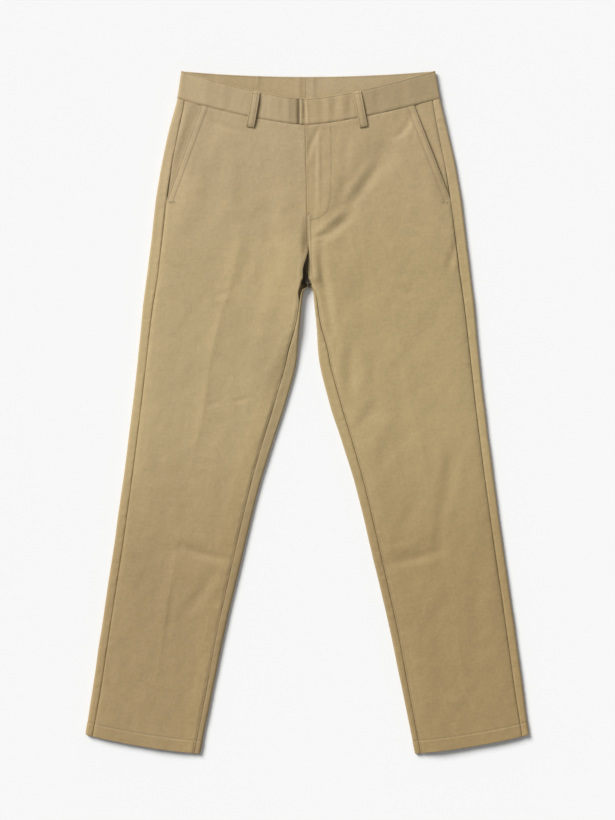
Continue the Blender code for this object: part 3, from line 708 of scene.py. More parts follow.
class Cloth:
    """A strip of cloth on a grid of rows and columns: its distances from the edges, its relief, and its
    shade, which is painted shade that darkens the cloth above 0 and painted light that pales it below."""

    def __init__(self, side, levels, base, lengths):
        self.side = side
        self.levels = levels
        self.base = base
        self.lengths = lengths
        self.from_start = lengths - lengths[:, :1]
        self.from_end = lengths[:, -1:] - lengths
        self.from_bottom = (levels - levels[0])[:, None]
        self.from_top = (levels[-1] - levels)[:, None]
        self.relief = np.zeros(lengths.shape)
        self.shade = np.zeros(lengths.shape)
        self.inner_relief = 0.0
        self.butted = False

    @property
    def x(self):
        return self.base[..., 0]

    @property
    def y(self):
        return self.base[..., 1]

    def stitched(self, distance, strength=1.0):
        """Sinks a shallow channel where a row of stitches pulls the cloth in, with painted shade along it.
        """
        line = bell(distance, CHANNEL[1]) * strength
        self.relief -= CHANNEL[0] * line
        self.relief += LIP[0] * bell(np.abs(distance) - LIP_PLACE, LIP[1]) * strength
        self.shade = np.maximum(self.shade, line)

    def rolled(self, distance, depth=0.55, strength=1.0):
        """Turns the cloth down into a seam, with painted shade along it, and raises a low ridge beside it
        over the seam allowance.
        """
        line = bell(distance, ROLL_WIDTH) * strength
        self.relief -= depth * line
        rising = smoothstep((distance - ALLOWANCE_ENDS[0]) / ALLOWANCE_SLOPES[0])
        falling = smoothstep((ALLOWANCE_ENDS[1] - distance) / ALLOWANCE_SLOPES[1])
        self.relief += ALLOWANCE * rising * falling * strength
        self.shade = np.maximum(self.shade, ROLL_SHADE * line)

    def puckered(self, distance, place, pucker, strength=1.0):
        """Small uneven puckers square to a seam, strongest beside it."""
        slant = distance * PUCKER_SLANT[0] + place * PUCKER_SLANT[1]
        wave = soft_noise(place, slant, *PUCKER_CELL, pucker.seed + self.side)
        beside = bell(distance, pucker.reach) * smoothstep(distance / 2.5)
        self.relief += pucker.height * wave * beside * strength

    def swelled(self, swells, strength=1.0):
        """Uneven swells over the whole piece, one set on the other."""
        for swell in swells:
            self.relief += strength * self.wave(swell)

    def wave(self, swell):
        """The height of one set of swells."""
        place = self.x + swell.lean * self.y
        return swell.height * soft_noise(place, self.y, swell.cell_x, swell.cell_y, swell.seed + self.side)

    def surface(self):
        """Its outer face with the relief on it, and the normals there."""
        normals = normals_of(self.base, self.side)
        points = self.base + normals * self.relief[..., None]
        return Surface(points, normals_of(points, self.side))

    def build(self, name, material, wall):
        """The shell: the relief on the outer face, the wall below it, and a rounded rim."""
        face = self.surface()
        radius = wall / 2
        end = self.from_end + (radius if self.butted else 0.0)
        rim = np.minimum(np.minimum(self.from_start, end), np.minimum(self.from_bottom, self.from_top))
        drop = rounded(rim, radius)[..., None]
        outer = face.points - face.normals * drop
        inner = face.points - face.normals * (wall - drop + self.inner_relief)
        climb = travelled(self.base[:, self.base.shape[1] // 2])
        half = (self.lengths[:, -1:] + self.lengths[:, :1]) / 2
        uv = np.stack([self.lengths - half, np.broadcast_to(climb[:, None], self.lengths.shape)], axis=-1)
        return add_shell(name, self.side, outer, inner, uv, self.shade, material)


def front_cloth(side):
    """Front panel: from the centre seam or the inseam to the outseam or the pocket mouth."""
    levels = panel_levels()
    tube = Tube(side, levels)
    start = tube.inseam + SEAM_GAP / 2
    mouth = tube.pocket_edge()
    end = mouth - SEAM_GAP / 2
    count = int(round(float((end - start).max() - 2 * EDGE[-1]) / PANEL_PITCH))
    middle = even_columns(start + EDGE[-1], end - EDGE[-1], count)[:, :-1]
    lengths = np.concatenate([start + EDGE[None, :], middle, end - EDGE[None, ::-1]], axis=1)
    base = tube.points(lengths)
    rise = raised_thigh(tube, base)
    base[..., 2] += rise + fuller_edges(tube, rows_interp(lengths, tube.length, tube.across))
    return Cloth(side, levels, blended_fork(levels, base), blended_fork(levels, lengths))


def leg_ramp(tube):
    """Width of the slope beside the inner edge, which is gentler down the leg."""
    wider = ramp(tube.levels, LEG_RAMP_LEVEL, LEG_RAMP_LEVEL - LEG_RAMP_FADE)
    return FULLER[tube.side].inner_ramp + LEG_RAMP[tube.side] * wider


def raised_thigh(tube, base):
    """Height that carries the wearer's right thigh at full loft up to its edge beside the fork."""
    if tube.side == LEFT:
        return 0.0
    beside = ramp(tube.levels, *THIGH_RISE_TOP) * ramp(tube.levels, *THIGH_RISE_FOOT)
    inside = np.abs(base[..., 0] - tube.x_at(0.0 * tube.width)) - tube.radius
    slope = 1.0 - smoothstep(inside / leg_ramp(tube))
    share = np.clip(base[..., 2] / tube.inner_height, 0.0, 1.0)
    return (tube.loft - tube.inner_height) * slope * share * beside


def fuller_edges(tube, across):
    """Height that carries the dome's full loft nearer to its edges: a steep ramp less the gentle one."""
    fuller = FULLER[tube.side]
    height = 0.0
    to_fold = tube.width - OUTER_FOLD - across
    ends = (
        (across - tube.radius, tube.inner_height, leg_ramp(tube), fuller.inner_share),
        (to_fold, tube.low + 2 * OUTER_FOLD, fuller.outer_ramp, fuller.outer_share),
    )
    for inside, edge_height, reach, share in ends:
        steeper = ramp(inside, 0.0, reach) - ramp(inside, 0.0, DOME_RAMP)
        height = height + share * (tube.loft - edge_height) * steeper
    return height * ramp(tube.levels, FULL_BELOW_LEVEL, FULL_BELOW_LEVEL - FULL_FADE)


def below_fork(level):
    """1 down the legs and 0 above the fork."""
    fork = SECTION["below_fork"].level
    return ramp(level, fork, fork - 12.0)


def parting(cloth, row):
    """How far the edge is sunk or set aside at the fork."""
    share = ramp(cloth.y, *row.above) * ramp(cloth.y, *row.below)
    return row.depth * share * bell(cloth.from_start, row.half_width)


def dress_front(cloth):
    """Creases, seams, needle channels and the hem of a front panel."""
    side, x, y = cloth.side, cloth.x, cloth.y
    level = cloth.levels[:, None]
    row = FRONT_SIDES[side]
    off_seams = ramp(cloth.from_start, 0.0, SEAM_REACH) * ramp(cloth.from_end, 0.0, SEAM_REACH)
    strength = bpy.context.scene.trouser_sizes.crease_strength
    strength = strength * (SEAM_CREASES + (1.0 - SEAM_CREASES) * off_seams)
    cloth.relief += strength * crease_relief(x, y, CREASES, CREASE_SHOULDER, light_lean=LIGHT_LEAN)
    for height, points in PRESSED:
        away, along = line_distance(x, y, points)
        cloth.relief += height * np.exp(-away / PRESSED_WIDTH) * np.sin(np.pi * along) ** 0.5
    cloth.swelled(FRONT_SWELLS, off_seams)

    in_leg = below_fork(level)
    above_crotch = ramp(level, CROTCH_LEVEL, CROTCH_LEVEL + 6.0)
    over_fly = ramp(y, FLY_STITCH_FOOT_Y, FLY_STITCH_FOOT_Y + 6.0)
    lapped = over_fly * above_crotch
    cloth.rolled(cloth.from_start, SEAM_ROLL, row.seam * (1.0 - lapped))
    cloth.puckered(cloth.from_start, y, INNER_PUCKER, in_leg)
    cloth.stitched(cloth.from_start - INSEAM_ROW, in_leg)
    for place in CROTCH_ROWS:
        cloth.stitched(cloth.from_start - place, CROTCH_STRENGTH * above_crotch * (1.0 - over_fly))
    cloth.relief += row.fly_edge * lapped * bell(cloth.from_start, row.fly_width)

    on_pocket = ramp(level, POCKET_FOOT_LEVEL - 2.0, POCKET_FOOT_LEVEL + 2.0)
    cloth.rolled(cloth.from_end, SEAM_ROLL, 1.0 - on_pocket)
    cloth.puckered(cloth.from_end, y, OUTER_PUCKER, 1.0 - on_pocket)
    for place in POCKET_ROWS:
        cloth.stitched(cloth.from_end - place, on_pocket)
    up_mouth = np.clip((level - POCKET_FOOT_LEVEL) / (WAIST_LEVEL - POCKET_FOOT_LEVEL), 0.0, 1.0)
    cloth.relief += row.gape * np.sin(np.pi * up_mouth) * bell(cloth.from_end, GAPE_WIDTH) * on_pocket
    cloth.rolled(cloth.from_top, 0.2, 0.5)
    cloth.puckered(cloth.from_top, x, WAIST_PUCKER)
    dress_hem(cloth, FRONT_HEM_SEED)

    if side == LEFT:
        cloth.stitched(line_distance(x, y, FLY_STITCH)[0])
        cloth.relief -= parting(cloth, FORK_SINK)
    else:
        cloth.base[..., 0] -= parting(cloth, FORK_ASIDE)
        # Painted highlight down the right inner thigh.
        strip = bell(cloth.from_start - THIGH_STRIP, THIGH_STRIP_WIDTH) * ramp(y, *THIGH_STRIP_YS)
        cloth.shade -= THIGH_STRIP_SHADE * strip
    # Painted highlight and painted shade in soft patches.
    for patch in LIGHT_AND_SHADE_PATCHES:
        cloth.shade -= patch.paler * bell(x - patch.x, patch.half_x) * bell(y - patch.y, patch.half_y)


def dress_hem(cloth, seed):
    """The turned-up hem: double cloth below a stitched line, with slanting puckers along it."""
    up = cloth.levels[:, None] - HEM_TOP
    cloth.relief += HEM_FOLD * ramp(up, 0.0, -2.0)
    cloth.stitched(up)
    wave = soft_noise(cloth.x + HEM_LEAN * up, (up + HEM_TOP) * 0.1, *PUCKER_CELL, seed + cloth.side)
    cloth.relief += HEM_PUCKER * wave * bell(up + 7.0, 12.0)


def back_cloth(side):
    """Back panel: from the outseam round the outer fold and below, up to the centre or the inseam."""
    levels = panel_levels()
    tube = Tube(side, levels)
    start = tube.outseam_at + SEAM_GAP / 2
    middle = (tube.fold_top + tube.fold_under) / 2
    leg_end = tube.inner_edge + tube.inseam - SEAM_GAP / 2
    end = np.where(tube.is_leg, leg_end, tube.under_end - SEAM_GAP / 2)
    leg_top = np.minimum(tube.inner_edge + tube.inner_top, leg_end - INSEAM_ROOM)
    round_top = np.where(tube.is_leg, leg_top, end - CENTRE_STEP)
    leg_mid = np.minimum(tube.inner_edge, leg_end - 2 * INSEAM_ROOM)
    round_mid = np.where(tube.is_leg, leg_mid, end - 2 * CENTRE_STEP)
    under_end = np.where(tube.is_leg, tube.under_end, end - 3 * CENTRE_STEP)
    first = start + STRIP_EDGE[None, :]
    marks = (first[:, -1:], tube.fold_top, middle, tube.fold_under, under_end, round_mid, round_top)
    runs = [even_columns(*run) for run in zip(marks, marks[1:], (4, 6, 6, 22, 6, 6))]
    last = round_top + (end - round_top) * END_SHARES[None, :]
    lengths = np.concatenate([first, *runs, last], axis=1)
    base = tube.points(lengths)
    base[..., 2] += raised_thigh(tube, base) * tube.is_leg
    cloth = Cloth(side, levels, blended_fork(levels, base), blended_fork(levels, lengths))
    seat = ramp(cloth.y, *SEAT_ABOVE) * ramp(cloth.y, *SEAT_BELOW)
    to_centre = side * blended_fork(levels, np.broadcast_to(tube.inner, lengths.shape))
    cloth.base[..., 0] -= to_centre * seat * bell(cloth.from_end, SEAT_REACH)
    # Painted shadow on the back cloth that shows at the fork.
    cloth.shade += SEAT_SHADE * seat * bell(cloth.x, SEAT_WIDTH)
    return cloth


def dress_back(cloth):
    """Seams, puckers and the hem of a back panel, which is flat where it rests."""
    side, height = cloth.side, cloth.base[..., 2]
    in_leg = below_fork(cloth.levels[:, None])
    raised = ramp(height, 1.0, 3.0)
    cloth.rolled(cloth.from_start, SEAM_ROLL)
    cloth.puckered(cloth.from_start, cloth.y, BACK_OUTER_PUCKER)
    cloth.rolled(cloth.from_end, SEAM_ROLL, in_leg * raised)
    cloth.puckered(cloth.from_end, cloth.y, BACK_INNER_PUCKER, in_leg * raised)
    cloth.swelled(BACK_SWELLS, raised)
    dress_hem(cloth, BACK_HEM_SEED)
    cloth.relief *= 0.02 + 0.98 * raised

    # Painted highlight beside the outseam and where the strips turn down, and painted shade down the right
    # inner strip.
    outer = ramp(cloth.from_start, *OUTER_STRIP)
    turned = ramp(height, *TURN_HEIGHTS) * raised
    cloth.shade -= OUTER_PALER[side] * raised * outer * ramp(cloth.from_start, 0.0, 3.0)
    if side == RIGHT:
        inner = ramp(cloth.from_end, *INNER_STRIP) * in_leg
        cloth.shade += inner * (INNER_DARKER * raised - INNER_TURN_PALER * turned)
    else:
        cloth.shade -= OUTER_TURN_PALER * turned * outer
    # One dark spot of painted shadow below the crotch.
    spot = bell(cloth.x - SPOT_X[0], SPOT_X[1]) * bell(cloth.y - SPOT_Y[0], SPOT_Y[1])
    cloth.shade = np.minimum(cloth.shade + SPOT_SHADE * spot, MOST_SHADE)


def facing_cloth(side):
    """Pocket facing: under the edge of the front, rising beside the pocket mouth to meet the outseam."""
    foot, top = POCKET_FOOT_LEVEL - FACING_TAIL, WAIST_LEVEL - GAP / 2
    levels = np.concatenate([np.linspace(foot, top - STRIP_EDGE[5], 76), top - STRIP_EDGE[4::-1]])
    tube = Tube(side, levels)
    mouth = tube.pocket_edge() - GAP / 2
    end = np.maximum(tube.outseam_at - SEAM_GAP / 2, mouth + 1.0)
    under = even_columns(mouth - FACING_UNDERLAP, mouth, 7)
    lengths = np.concatenate([under, mouth + (end - mouth) * FACING_SHARES[None, :]], axis=1)
    cloth = Cloth(side, levels, tube.points(lengths), lengths)
    past = lengths - mouth
    gape = np.sin(np.pi * np.linspace(0.0, 1.0, len(levels)))[:, None]
    cloth.relief -= (FACING_SINK + FACING_GAPE * gape) * (1.0 - ramp(past, 1.0, 1.0 + FACING_RISE))
    # Painted shadow along the pocket mouth.
    cloth.shade += FACING_SHADE[side] * bell(past, 2.0)
    cloth.rolled(cloth.from_end, SEAM_ROLL, ramp(end - mouth, 1.5, 5.5))
    cloth.swelled(FACING_SWELLS, ramp(past, 0.0, 3.0))
    return cloth


def lap_sink(across):
    """How far the right end of the waistband drops to pass below the left end and its hook."""
    step_down = LAP_STEP * ramp(across, LAP_MARK + LAP_SLOPE, LAP_MARK)
    return step_down + HOOK_ROOM * ramp(across, START_STRIP, START_STRIP - HOOK_SLOPE)


def band_cloth(side):
    """Half of the waistband, from its end at the fly, round the side, to the centre back."""
    bottom = WAIST_LEVEL + SEAM_GAP / 2
    height = BAND_TOP_LEVEL - bottom
    inside = np.linspace(STRIP_EDGE[-1], height - STRIP_EDGE[-1], 24)[1:-1]
    levels = bottom + np.concatenate([STRIP_EDGE, inside, height - STRIP_EDGE[::-1]])
    tube = Tube(side, levels)
    start = -BAND_LAP if side == LEFT else -BAND_UNDERLAP
    width = float(tube.width.mean())
    first = start + STRIP_EDGE
    rest = np.linspace(first[-1], width - OUTER_FOLD, 112)[1:]
    across = np.concatenate([first, rest])[None, :] / width
    across = np.where(across < 0, across * width, across * tube.width)
    stretch = (tube.width - OUTER_FOLD) / across.max(axis=1, keepdims=True)
    across = np.where(across > 0, across * stretch, across)
    sink = lap_sink(across) if side == RIGHT else 0.0
    front = tube.world(across, tube.dome_height(across) - sink, 0.0)
    middle = (tube.fold_top + tube.fold_under) / 2
    back_end = tube.under_end - SEAM_GAP / 2
    marks = (tube.fold_top, middle, tube.fold_under, back_end - STRIP_EDGE[-1])
    runs = [even_columns(*run) for run in zip(marks, marks[1:], (6, 6, 60))]
    lengths = np.concatenate([*runs, back_end - STRIP_EDGE[None, -2::-1]], axis=1)
    base = np.concatenate([front, tube.points(lengths)], axis=1)
    cloth = Cloth(side, levels, base, travelled(base))
    cloth.butted = True
    cloth.on_front = np.concatenate([np.ones(across.shape), np.zeros(lengths.shape)], axis=1)
    return cloth


def dress_band(cloth):
    """The waistband's pressed edges, needle channels, ripples and lapped ends, and its lining's seams."""
    side, x, y = cloth.side, cloth.x, cloth.y
    on_front, inside = cloth.on_front, 1.0 - cloth.on_front
    strength = BAND_CREASE_STRENGTH * bpy.context.scene.trouser_sizes.crease_strength
    cloth.rolled(cloth.from_bottom, 0.12, 0.4)
    cloth.stitched(cloth.from_bottom - BAND_ROW, 0.5)
    cloth.stitched(cloth.from_top - BAND_ROW)
    cloth.puckered(cloth.from_bottom, x, BAND_PUCKER)
    from_seam = ramp(cloth.from_bottom, 0.0, BAND_FULLNESS_REACH[0])
    cloth.relief += BAND_FULLNESS * from_seam * ramp(cloth.from_top, 0.0, BAND_FULLNESS_REACH[1])
    cloth.relief += strength * on_front * crease_relief(x, y, BAND_CREASES)
    cloth.swelled(BAND_SWELLS)
    if side == RIGHT:
        cloth.relief += on_front * bumps(x, BAND_DIP)
        # Painted shade in the dip beside the lapped end.
        cloth.shade = np.maximum(cloth.shade, on_front * bumps(x, BAND_DIP_SHADE))
    else:
        cloth.relief += 0.8 * bell(cloth.from_start, 3.5)
    cloth.relief *= 0.04 + 0.96 * ramp(cloth.base[..., 2], 3.5, 5.5)
    # Painted shade over the band's left, and a paler right.
    cloth.shade += on_front * BAND_LEFT_SHADE * ramp(x, *BAND_LEFT_XS)
    cloth.shade -= on_front * BAND_RIGHT_PALER * ramp(x, *BAND_RIGHT_XS)
    cloth.inner_relief = (inside * (bumps(x, LINING_RELIEF) + cloth.wave(BAND_LINING_SWELL)))[..., None]
    # Painted shade at the lining's seam and tacks.
    cloth.shade = np.maximum(cloth.shade, inside * bumps(x, LINING_SHADE))


def loop_cloth(side, share, is_front):
    """Belt loop: a strip from the band's top edge to below the waist seam. A front one stands off."""
    travel = np.linspace(0.0, 1.0, 45)[::-1]
    levels = LOOP_TOP_LEVEL + (LOOP_FOOT_LEVEL - LOOP_TOP_LEVEL) * travel
    tube = Tube(side, levels)
    middle = (share + LOOP_SLANT * travel * (share > 0)) * tube.outer[:, 0]
    offsets = np.concatenate([LOOP_EDGE, LOOP_WIDTH - LOOP_EDGE[::-1]]) - LOOP_WIDTH / 2
    across = middle[:, None] + offsets[None, :]
    if is_front:
        clear = LOOP_STAND * np.sqrt(np.sin(np.pi * np.clip(travel, 0.0, 1.0)))[:, None]
        height = tube.dome_height(across) + GAP + clear + LOOP_CLOTH
        base = tube.world(across, height, 0.0)
    else:
        height = np.broadcast_to(tube.low - GAP - LOOP_CLOTH, across.shape)
        base = tube.world(across, height, 1.0)
    return Cloth(side if is_front else -side, levels, base, across - across[:, :1])


def dress_loop(cloth):
    """A belt loop's two needle channels, its soft middle and its pressed ends."""
    for distance in (cloth.from_start - LOOP_ROW, cloth.from_end - LOOP_ROW):
        cloth.stitched(distance, 1.2)
    cloth.relief += 0.18 * bell(cloth.from_start - LOOP_WIDTH / 2, 3.0)
    for distance in (cloth.from_bottom, cloth.from_top):
        cloth.relief -= 0.35 * bell(distance - 4.5, 1.3)


def fly_cloth(across_ends, foot, depth, columns):
    """A strip below the front at the fly, at one depth under the cloth's outer face."""
    levels = np.linspace(foot, WAIST_LEVEL - 2.0, 40)
    tube = Tube(LEFT, levels)
    across = np.broadcast_to(np.linspace(*across_ends, columns)[None, :], (len(levels), columns))
    base = tube.world(across, tube.dome_height(np.abs(across)) - depth, 0.0)
    return Cloth(LEFT, levels, base, across - across[:, :1])


CAPSULE_RINGS = ((-1.0, 0.45), (-0.7, 0.9), (0.0, 1.0), (0.7, 0.9), (1.0, 0.45))
CAPSULE_SIDES = 6
STITCH_SAG = 0.35
HOLE_WIDTH = 1.0
HOLE_RISE = 0.14
HOLE_SINK = 0.14


def stitch_mesh(name, centres, ways, normals, length, width, material, pierced=True):
    """Many short stitches as one mesh: a six-sided rod along each way, swelling in the middle and dipping
    into the cloth at both ends by the sag times the squared share of its length."""
    ways = ways - normals * (ways * normals).sum(axis=1, keepdims=True)
    ways = ways / np.maximum(np.linalg.norm(ways, axis=1, keepdims=True), 1e-9)
    beside = np.cross(normals, ways)
    share, swell = np.array(CAPSULE_RINGS).T
    angle = np.arange(CAPSULE_SIDES) * 2 * np.pi / CAPSULE_SIDES
    along = share[None, :, None, None] * (length / 2) * ways[:, None, None, :]
    out = (swell[:, None] * np.cos(angle)[None, :])[None, :, :, None] * beside[:, None, None, :]
    up = (swell[:, None] * np.sin(angle)[None, :])[None, :, :, None] * normals[:, None, None, :]
    dip = (STITCH_SAG * share ** 2)[None, :, None, None] * normals[:, None, None, :]
    points = centres[:, None, None, :] + along + (out + up) * (width / 2) - dip
    each = len(CAPSULE_RINGS) * CAPSULE_SIDES
    ring = np.arange(len(CAPSULE_RINGS) - 1)[:, None] * CAPSULE_SIDES
    turn = np.arange(CAPSULE_SIDES)[None, :]
    following = (turn + 1) % CAPSULE_SIDES
    above = ring + CAPSULE_SIDES
    quads = np.stack([ring + turn, ring + following, above + following, above + turn], axis=-1)
    quads = quads.reshape(-1, 4)
    sides = np.arange(CAPSULE_SIDES)
    caps = np.stack([sides[::-1], each - CAPSULE_SIDES + sides])
    shift = (np.arange(len(centres)) * each)[:, None, None]
    quads = (quads[None] + shift).reshape(-1, 4)
    caps = (caps[None] + shift).reshape(-1, CAPSULE_SIDES)
    if not pierced:
        return add_mesh(name, points.reshape(-1, 3), [quads, caps], material)
    holes, hole_faces = needle_holes(centres, ways, normals, length)
    hole_faces = hole_faces + len(centres) * each
    # Hole marks the lenses whose darkness is painted shadow in the needle holes.
    dark = np.concatenate([np.zeros(len(centres) * each), np.ones(len(holes))])
    points = np.concatenate([points.reshape(-1, 3), holes])
    return add_mesh(name, points, [quads, caps, hole_faces], material, {"Hole": dark})


def needle_holes(centres, ways, normals, length):
    """A dark flat lens at the end of each stitch, where the needle went in, as painted shadow in the hole:
    two low six-sided cones.
    """
    beside = np.cross(normals, ways)
    middle = centres + ways * (length / 2 + HOLE_WIDTH / 3) - normals * HOLE_SINK
    angle = np.arange(CAPSULE_SIDES) * 2 * np.pi / CAPSULE_SIDES
    cos, sin = np.cos(angle)[None, :, None], np.sin(angle)[None, :, None]
    ring = middle[:, None, :] + (cos * ways[:, None, :] + sin * beside[:, None, :]) * (HOLE_WIDTH / 2)
    tips = np.stack([middle + normals * HOLE_RISE, middle - normals * HOLE_RISE], axis=1)
    points = np.concatenate([ring, tips], axis=1)
    here = np.arange(CAPSULE_SIDES)
    ahead = (here + 1) % CAPSULE_SIDES
    upper = np.stack([here, ahead, np.full(CAPSULE_SIDES, CAPSULE_SIDES)], axis=1)
    lower = np.stack([ahead, here, np.full(CAPSULE_SIDES, CAPSULE_SIDES + 1)], axis=1)
    shift = (np.arange(len(centres)) * points.shape[1])[:, None, None]
    return points.reshape(-1, 3), (np.concatenate([upper, lower])[None] + shift).reshape(-1, 3)


class Needlework:
    """Gathers stitches on the surfaces of the cloth, to be made into one mesh."""

    def __init__(self):
        sizes = bpy.context.scene.trouser_sizes
        self.pitch = sizes.stitch_pitch / MM
        self.length = sizes.stitch_length / MM
        self.width = sizes.stitch_width / MM
        self.centres, self.ways, self.normals = [], [], []

    def run(self, points, normals, pitch=None):
        """Stitches spaced evenly along a line of points, with the surface's normals there."""
        along = travelled(points)
        pitch = pitch or self.pitch
        at = np.arange(pitch / 2, along[-1], pitch)
        if len(at) == 0:
            return

        def sampled(places, values):
            return np.stack([np.interp(places, along, column) for column in values.T], axis=1)

        normal = sampled(at, normals)
        normal /= np.linalg.norm(normal, axis=1, keepdims=True)
        self.add(sampled(at, points), sampled(at + 0.5, points) - sampled(at - 0.5, points), normal)

    def add(self, place, way, normal):
        """Stitches at these places, set a little proud of the cloth, each along its way."""
        self.centres.append(place + normal * self.width * 0.35)
        self.ways.append(way)
        self.normals.append(normal)

    def along_rows(self, cloth, surface, distance, wanted, from_end=False):
        """A run up the panel at one distance in from its edge, over the wanted rows."""
        reach = cloth.from_end[:, ::-1] if from_end else cloth.from_start
        points = surface.points[:, ::-1] if from_end else surface.points
        normals = surface.normals[:, ::-1] if from_end else surface.normals
        both = np.concatenate([points, normals], axis=-1)
        picked = [rows_interp(np.full((1, 1), distance), reach, both[..., k]) for k in range(6)]
        line = np.concatenate(picked, axis=1)[wanted]
        self.run(line[:, :3], line[:, 3:])

    def across_rows(self, cloth, surface, level):
        """A run across the panel at one level."""
        row = np.interp(level, cloth.levels, np.arange(len(cloth.levels)))
        low = int(row)
        share = row - low
        points = surface.points[low] * (1 - share) + surface.points[low + 1] * share
        self.run(points, surface.normals[low])

    def over(self, surface, line):
        """A run over the top of a surface along a line of X and Y points."""
        line = np.array(line, dtype=float)
        along = travelled(line)
        at = np.arange(0.0, along[-1], 1.0)
        x, y = (np.interp(at, along, column) for column in line.T)
        self.run(*dropped(surface, x, y))

    def bartack(self, surface, x0, y0, x1, y1, pitch=TACK_PITCH):
        """A bar of stitches laid square across a short line, side by side."""
        run = np.array([x1 - x0, y1 - y0], dtype=float)
        length = float(np.hypot(*run))
        count = int(length / pitch)
        share = (np.arange(count) + 0.5) / count
        points, normals = dropped(surface, x0 + run[0] * share, y0 + run[1] * share)
        lean = TACK_LEAN * (1 - 2 * (np.arange(count) % 2))
        along = run / length
        ways = np.stack([lean * along[0] - along[1], lean * along[1] + along[0], 0 * share], axis=1)
        self.add(points, ways, normals)

    def make(self, name, material, slot="thread"):
        """All the gathered stitches as one mesh. Only those of thread have needle holes."""
        made = stitch_mesh(
            name, np.concatenate(self.centres), np.concatenate(self.ways), np.concatenate(self.normals),
            self.length, self.width, material, slot == "thread",
        )
        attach(made, "root")
        return made


def dropped(surface, x, y):
    """Points of the surface above each X and Y: the nearest grid point and the slope of the cloth there."""
    flat = surface.points.reshape(-1, 3)
    normals = surface.normals.reshape(-1, 3)
    on_top = normals[:, 2] > 0.3
    flat, normals = flat[on_top], normals[on_top]
    away = (flat[None, :, 0] - x[:, None]) ** 2 + (flat[None, :, 1] - y[:, None]) ** 2
    nearest = np.argmin(away, axis=1)
    found, normal = flat[nearest], normals[nearest]
    rise = -(normal[:, 0] * (x - found[:, 0]) + normal[:, 1] * (y - found[:, 1])) / normal[:, 2]
    return np.stack([x, y, found[:, 2] + rise], axis=1), normal


def add_node(tree, kind, settings=None, **inputs):
    """A node with its settings, and its inputs set from values or from other nodes' sockets. An input is
    named by its label, or by i and its number where labels repeat."""
    made = tree.nodes.new(kind)
    for key, value in (settings or {}).items():
        setattr(made, key, value)
    for key, value in inputs.items():
        numbered = key[0] == "i" and key[1:].isdigit()
        socket = made.inputs[int(key[1:]) if numbered else key.replace("_", " ")]
        if isinstance(value, bpy.types.NodeSocket):
            tree.links.new(value, socket)
        else:
            socket.default_value = value
    return made


def maths(tree, operation, *values):
    """The result of a maths node on two or three values or sockets."""
    inputs = {f"i{number}": value for number, value in enumerate(values)}
    return add_node(tree, "ShaderNodeMath", {"operation": operation}, **inputs).outputs[0]


def swung(tree, source, swing, middle):
    """A source times its swing, plus a constant."""
    return maths(tree, "MULTIPLY_ADD", source, swing, middle)


def new_group(name, inputs, outputs):
    """An empty node group with float or vector inputs and outputs."""
    tree = bpy.data.node_groups.new(name, "ShaderNodeTree")
    for label, kind, value in inputs:
        socket = tree.interface.new_socket(label, in_out="INPUT", socket_type=kind)
        if value is not None:
            socket.default_value = value
    for label, kind in outputs:
        tree.interface.new_socket(label, in_out="OUTPUT", socket_type=kind)
    return tree, tree.nodes.new("NodeGroupInput"), tree.nodes.new("NodeGroupOutput")


FLOAT, VECTOR = "NodeSocketFloat", "NodeSocketVector"


def noise(tree, place, scale, detail):
    """A noise around one half, at a place."""
    made = add_node(tree, "ShaderNodeTexNoise", None, Vector=place, Scale=scale, Detail=detail)
    return made.outputs["Fac"]


def twill_group():
    """Twill weave: slanting wales, as a sine of the place on the flat cloth, broken up by yarn noise."""
    tree, given, out = new_group(
        "twill weave",
        (("Place", VECTOR, None), ("Wale", FLOAT, 0.0009), ("Slope", FLOAT, 1.6)),
        (("Height", FLOAT), ("Tone", FLOAT)),
    )
    parts = add_node(tree, "ShaderNodeSeparateXYZ", None, Vector=given.outputs["Place"])
    along = maths(tree, "DIVIDE", parts.outputs["Y"], given.outputs["Slope"])
    slanted = maths(tree, "ADD", parts.outputs["X"], along)
    turns = maths(tree, "MULTIPLY", maths(tree, "DIVIDE", slanted, given.outputs["Wale"]), 2 * np.pi)
    wale = swung(tree, maths(tree, "SINE", turns), 0.5, 0.5)
    yarn = noise(tree, given.outputs["Place"], 1500.0, 2.0)
    height = maths(tree, "MULTIPLY", wale, maths(tree, "ADD", yarn, 0.5))
    tree.links.new(height, out.inputs["Height"])
    tree.links.new(maths(tree, "ADD", maths(tree, "MULTIPLY", height, 0.5), 0.5), out.inputs["Tone"])
    return tree


def slub_group():
    """Uneven yarns: noise drawn out along the warp and along the weft, as a tone around one half."""
    tree, given, out = new_group("slub streaks", (("Place", VECTOR, None),), (("Tone", FLOAT),))
    tones = []
    for scale in ((700.0, 22.0, 1.0), (26.0, 620.0, 1.0)):
        drawn = add_node(tree, "ShaderNodeMapping", None, Vector=given.outputs["Place"], Scale=scale)
        tones.append(noise(tree, drawn.outputs["Vector"], 1.0, 3.0))
    both = maths(tree, "MULTIPLY", maths(tree, "ADD", tones[0], tones[1]), 0.5)
    tree.links.new(both, out.inputs["Tone"])
    return tree


def cloud_group():
    """Washed cloth: broad soft patches and a finer mottle, as two tones around one half."""
    tree, given, out = new_group(
        "washed mottle", (("Place", VECTOR, None), ("Patch", FLOAT, 14.0), ("Mottle", FLOAT, 190.0)),
        (("Patches", FLOAT), ("Mottle", FLOAT)),
    )
    for label, size in (("Patches", "Patch"), ("Mottle", "Mottle")):
        tree.links.new(noise(tree, given.outputs["Place"], given.outputs[size], 4.0), out.inputs[label])
    return tree


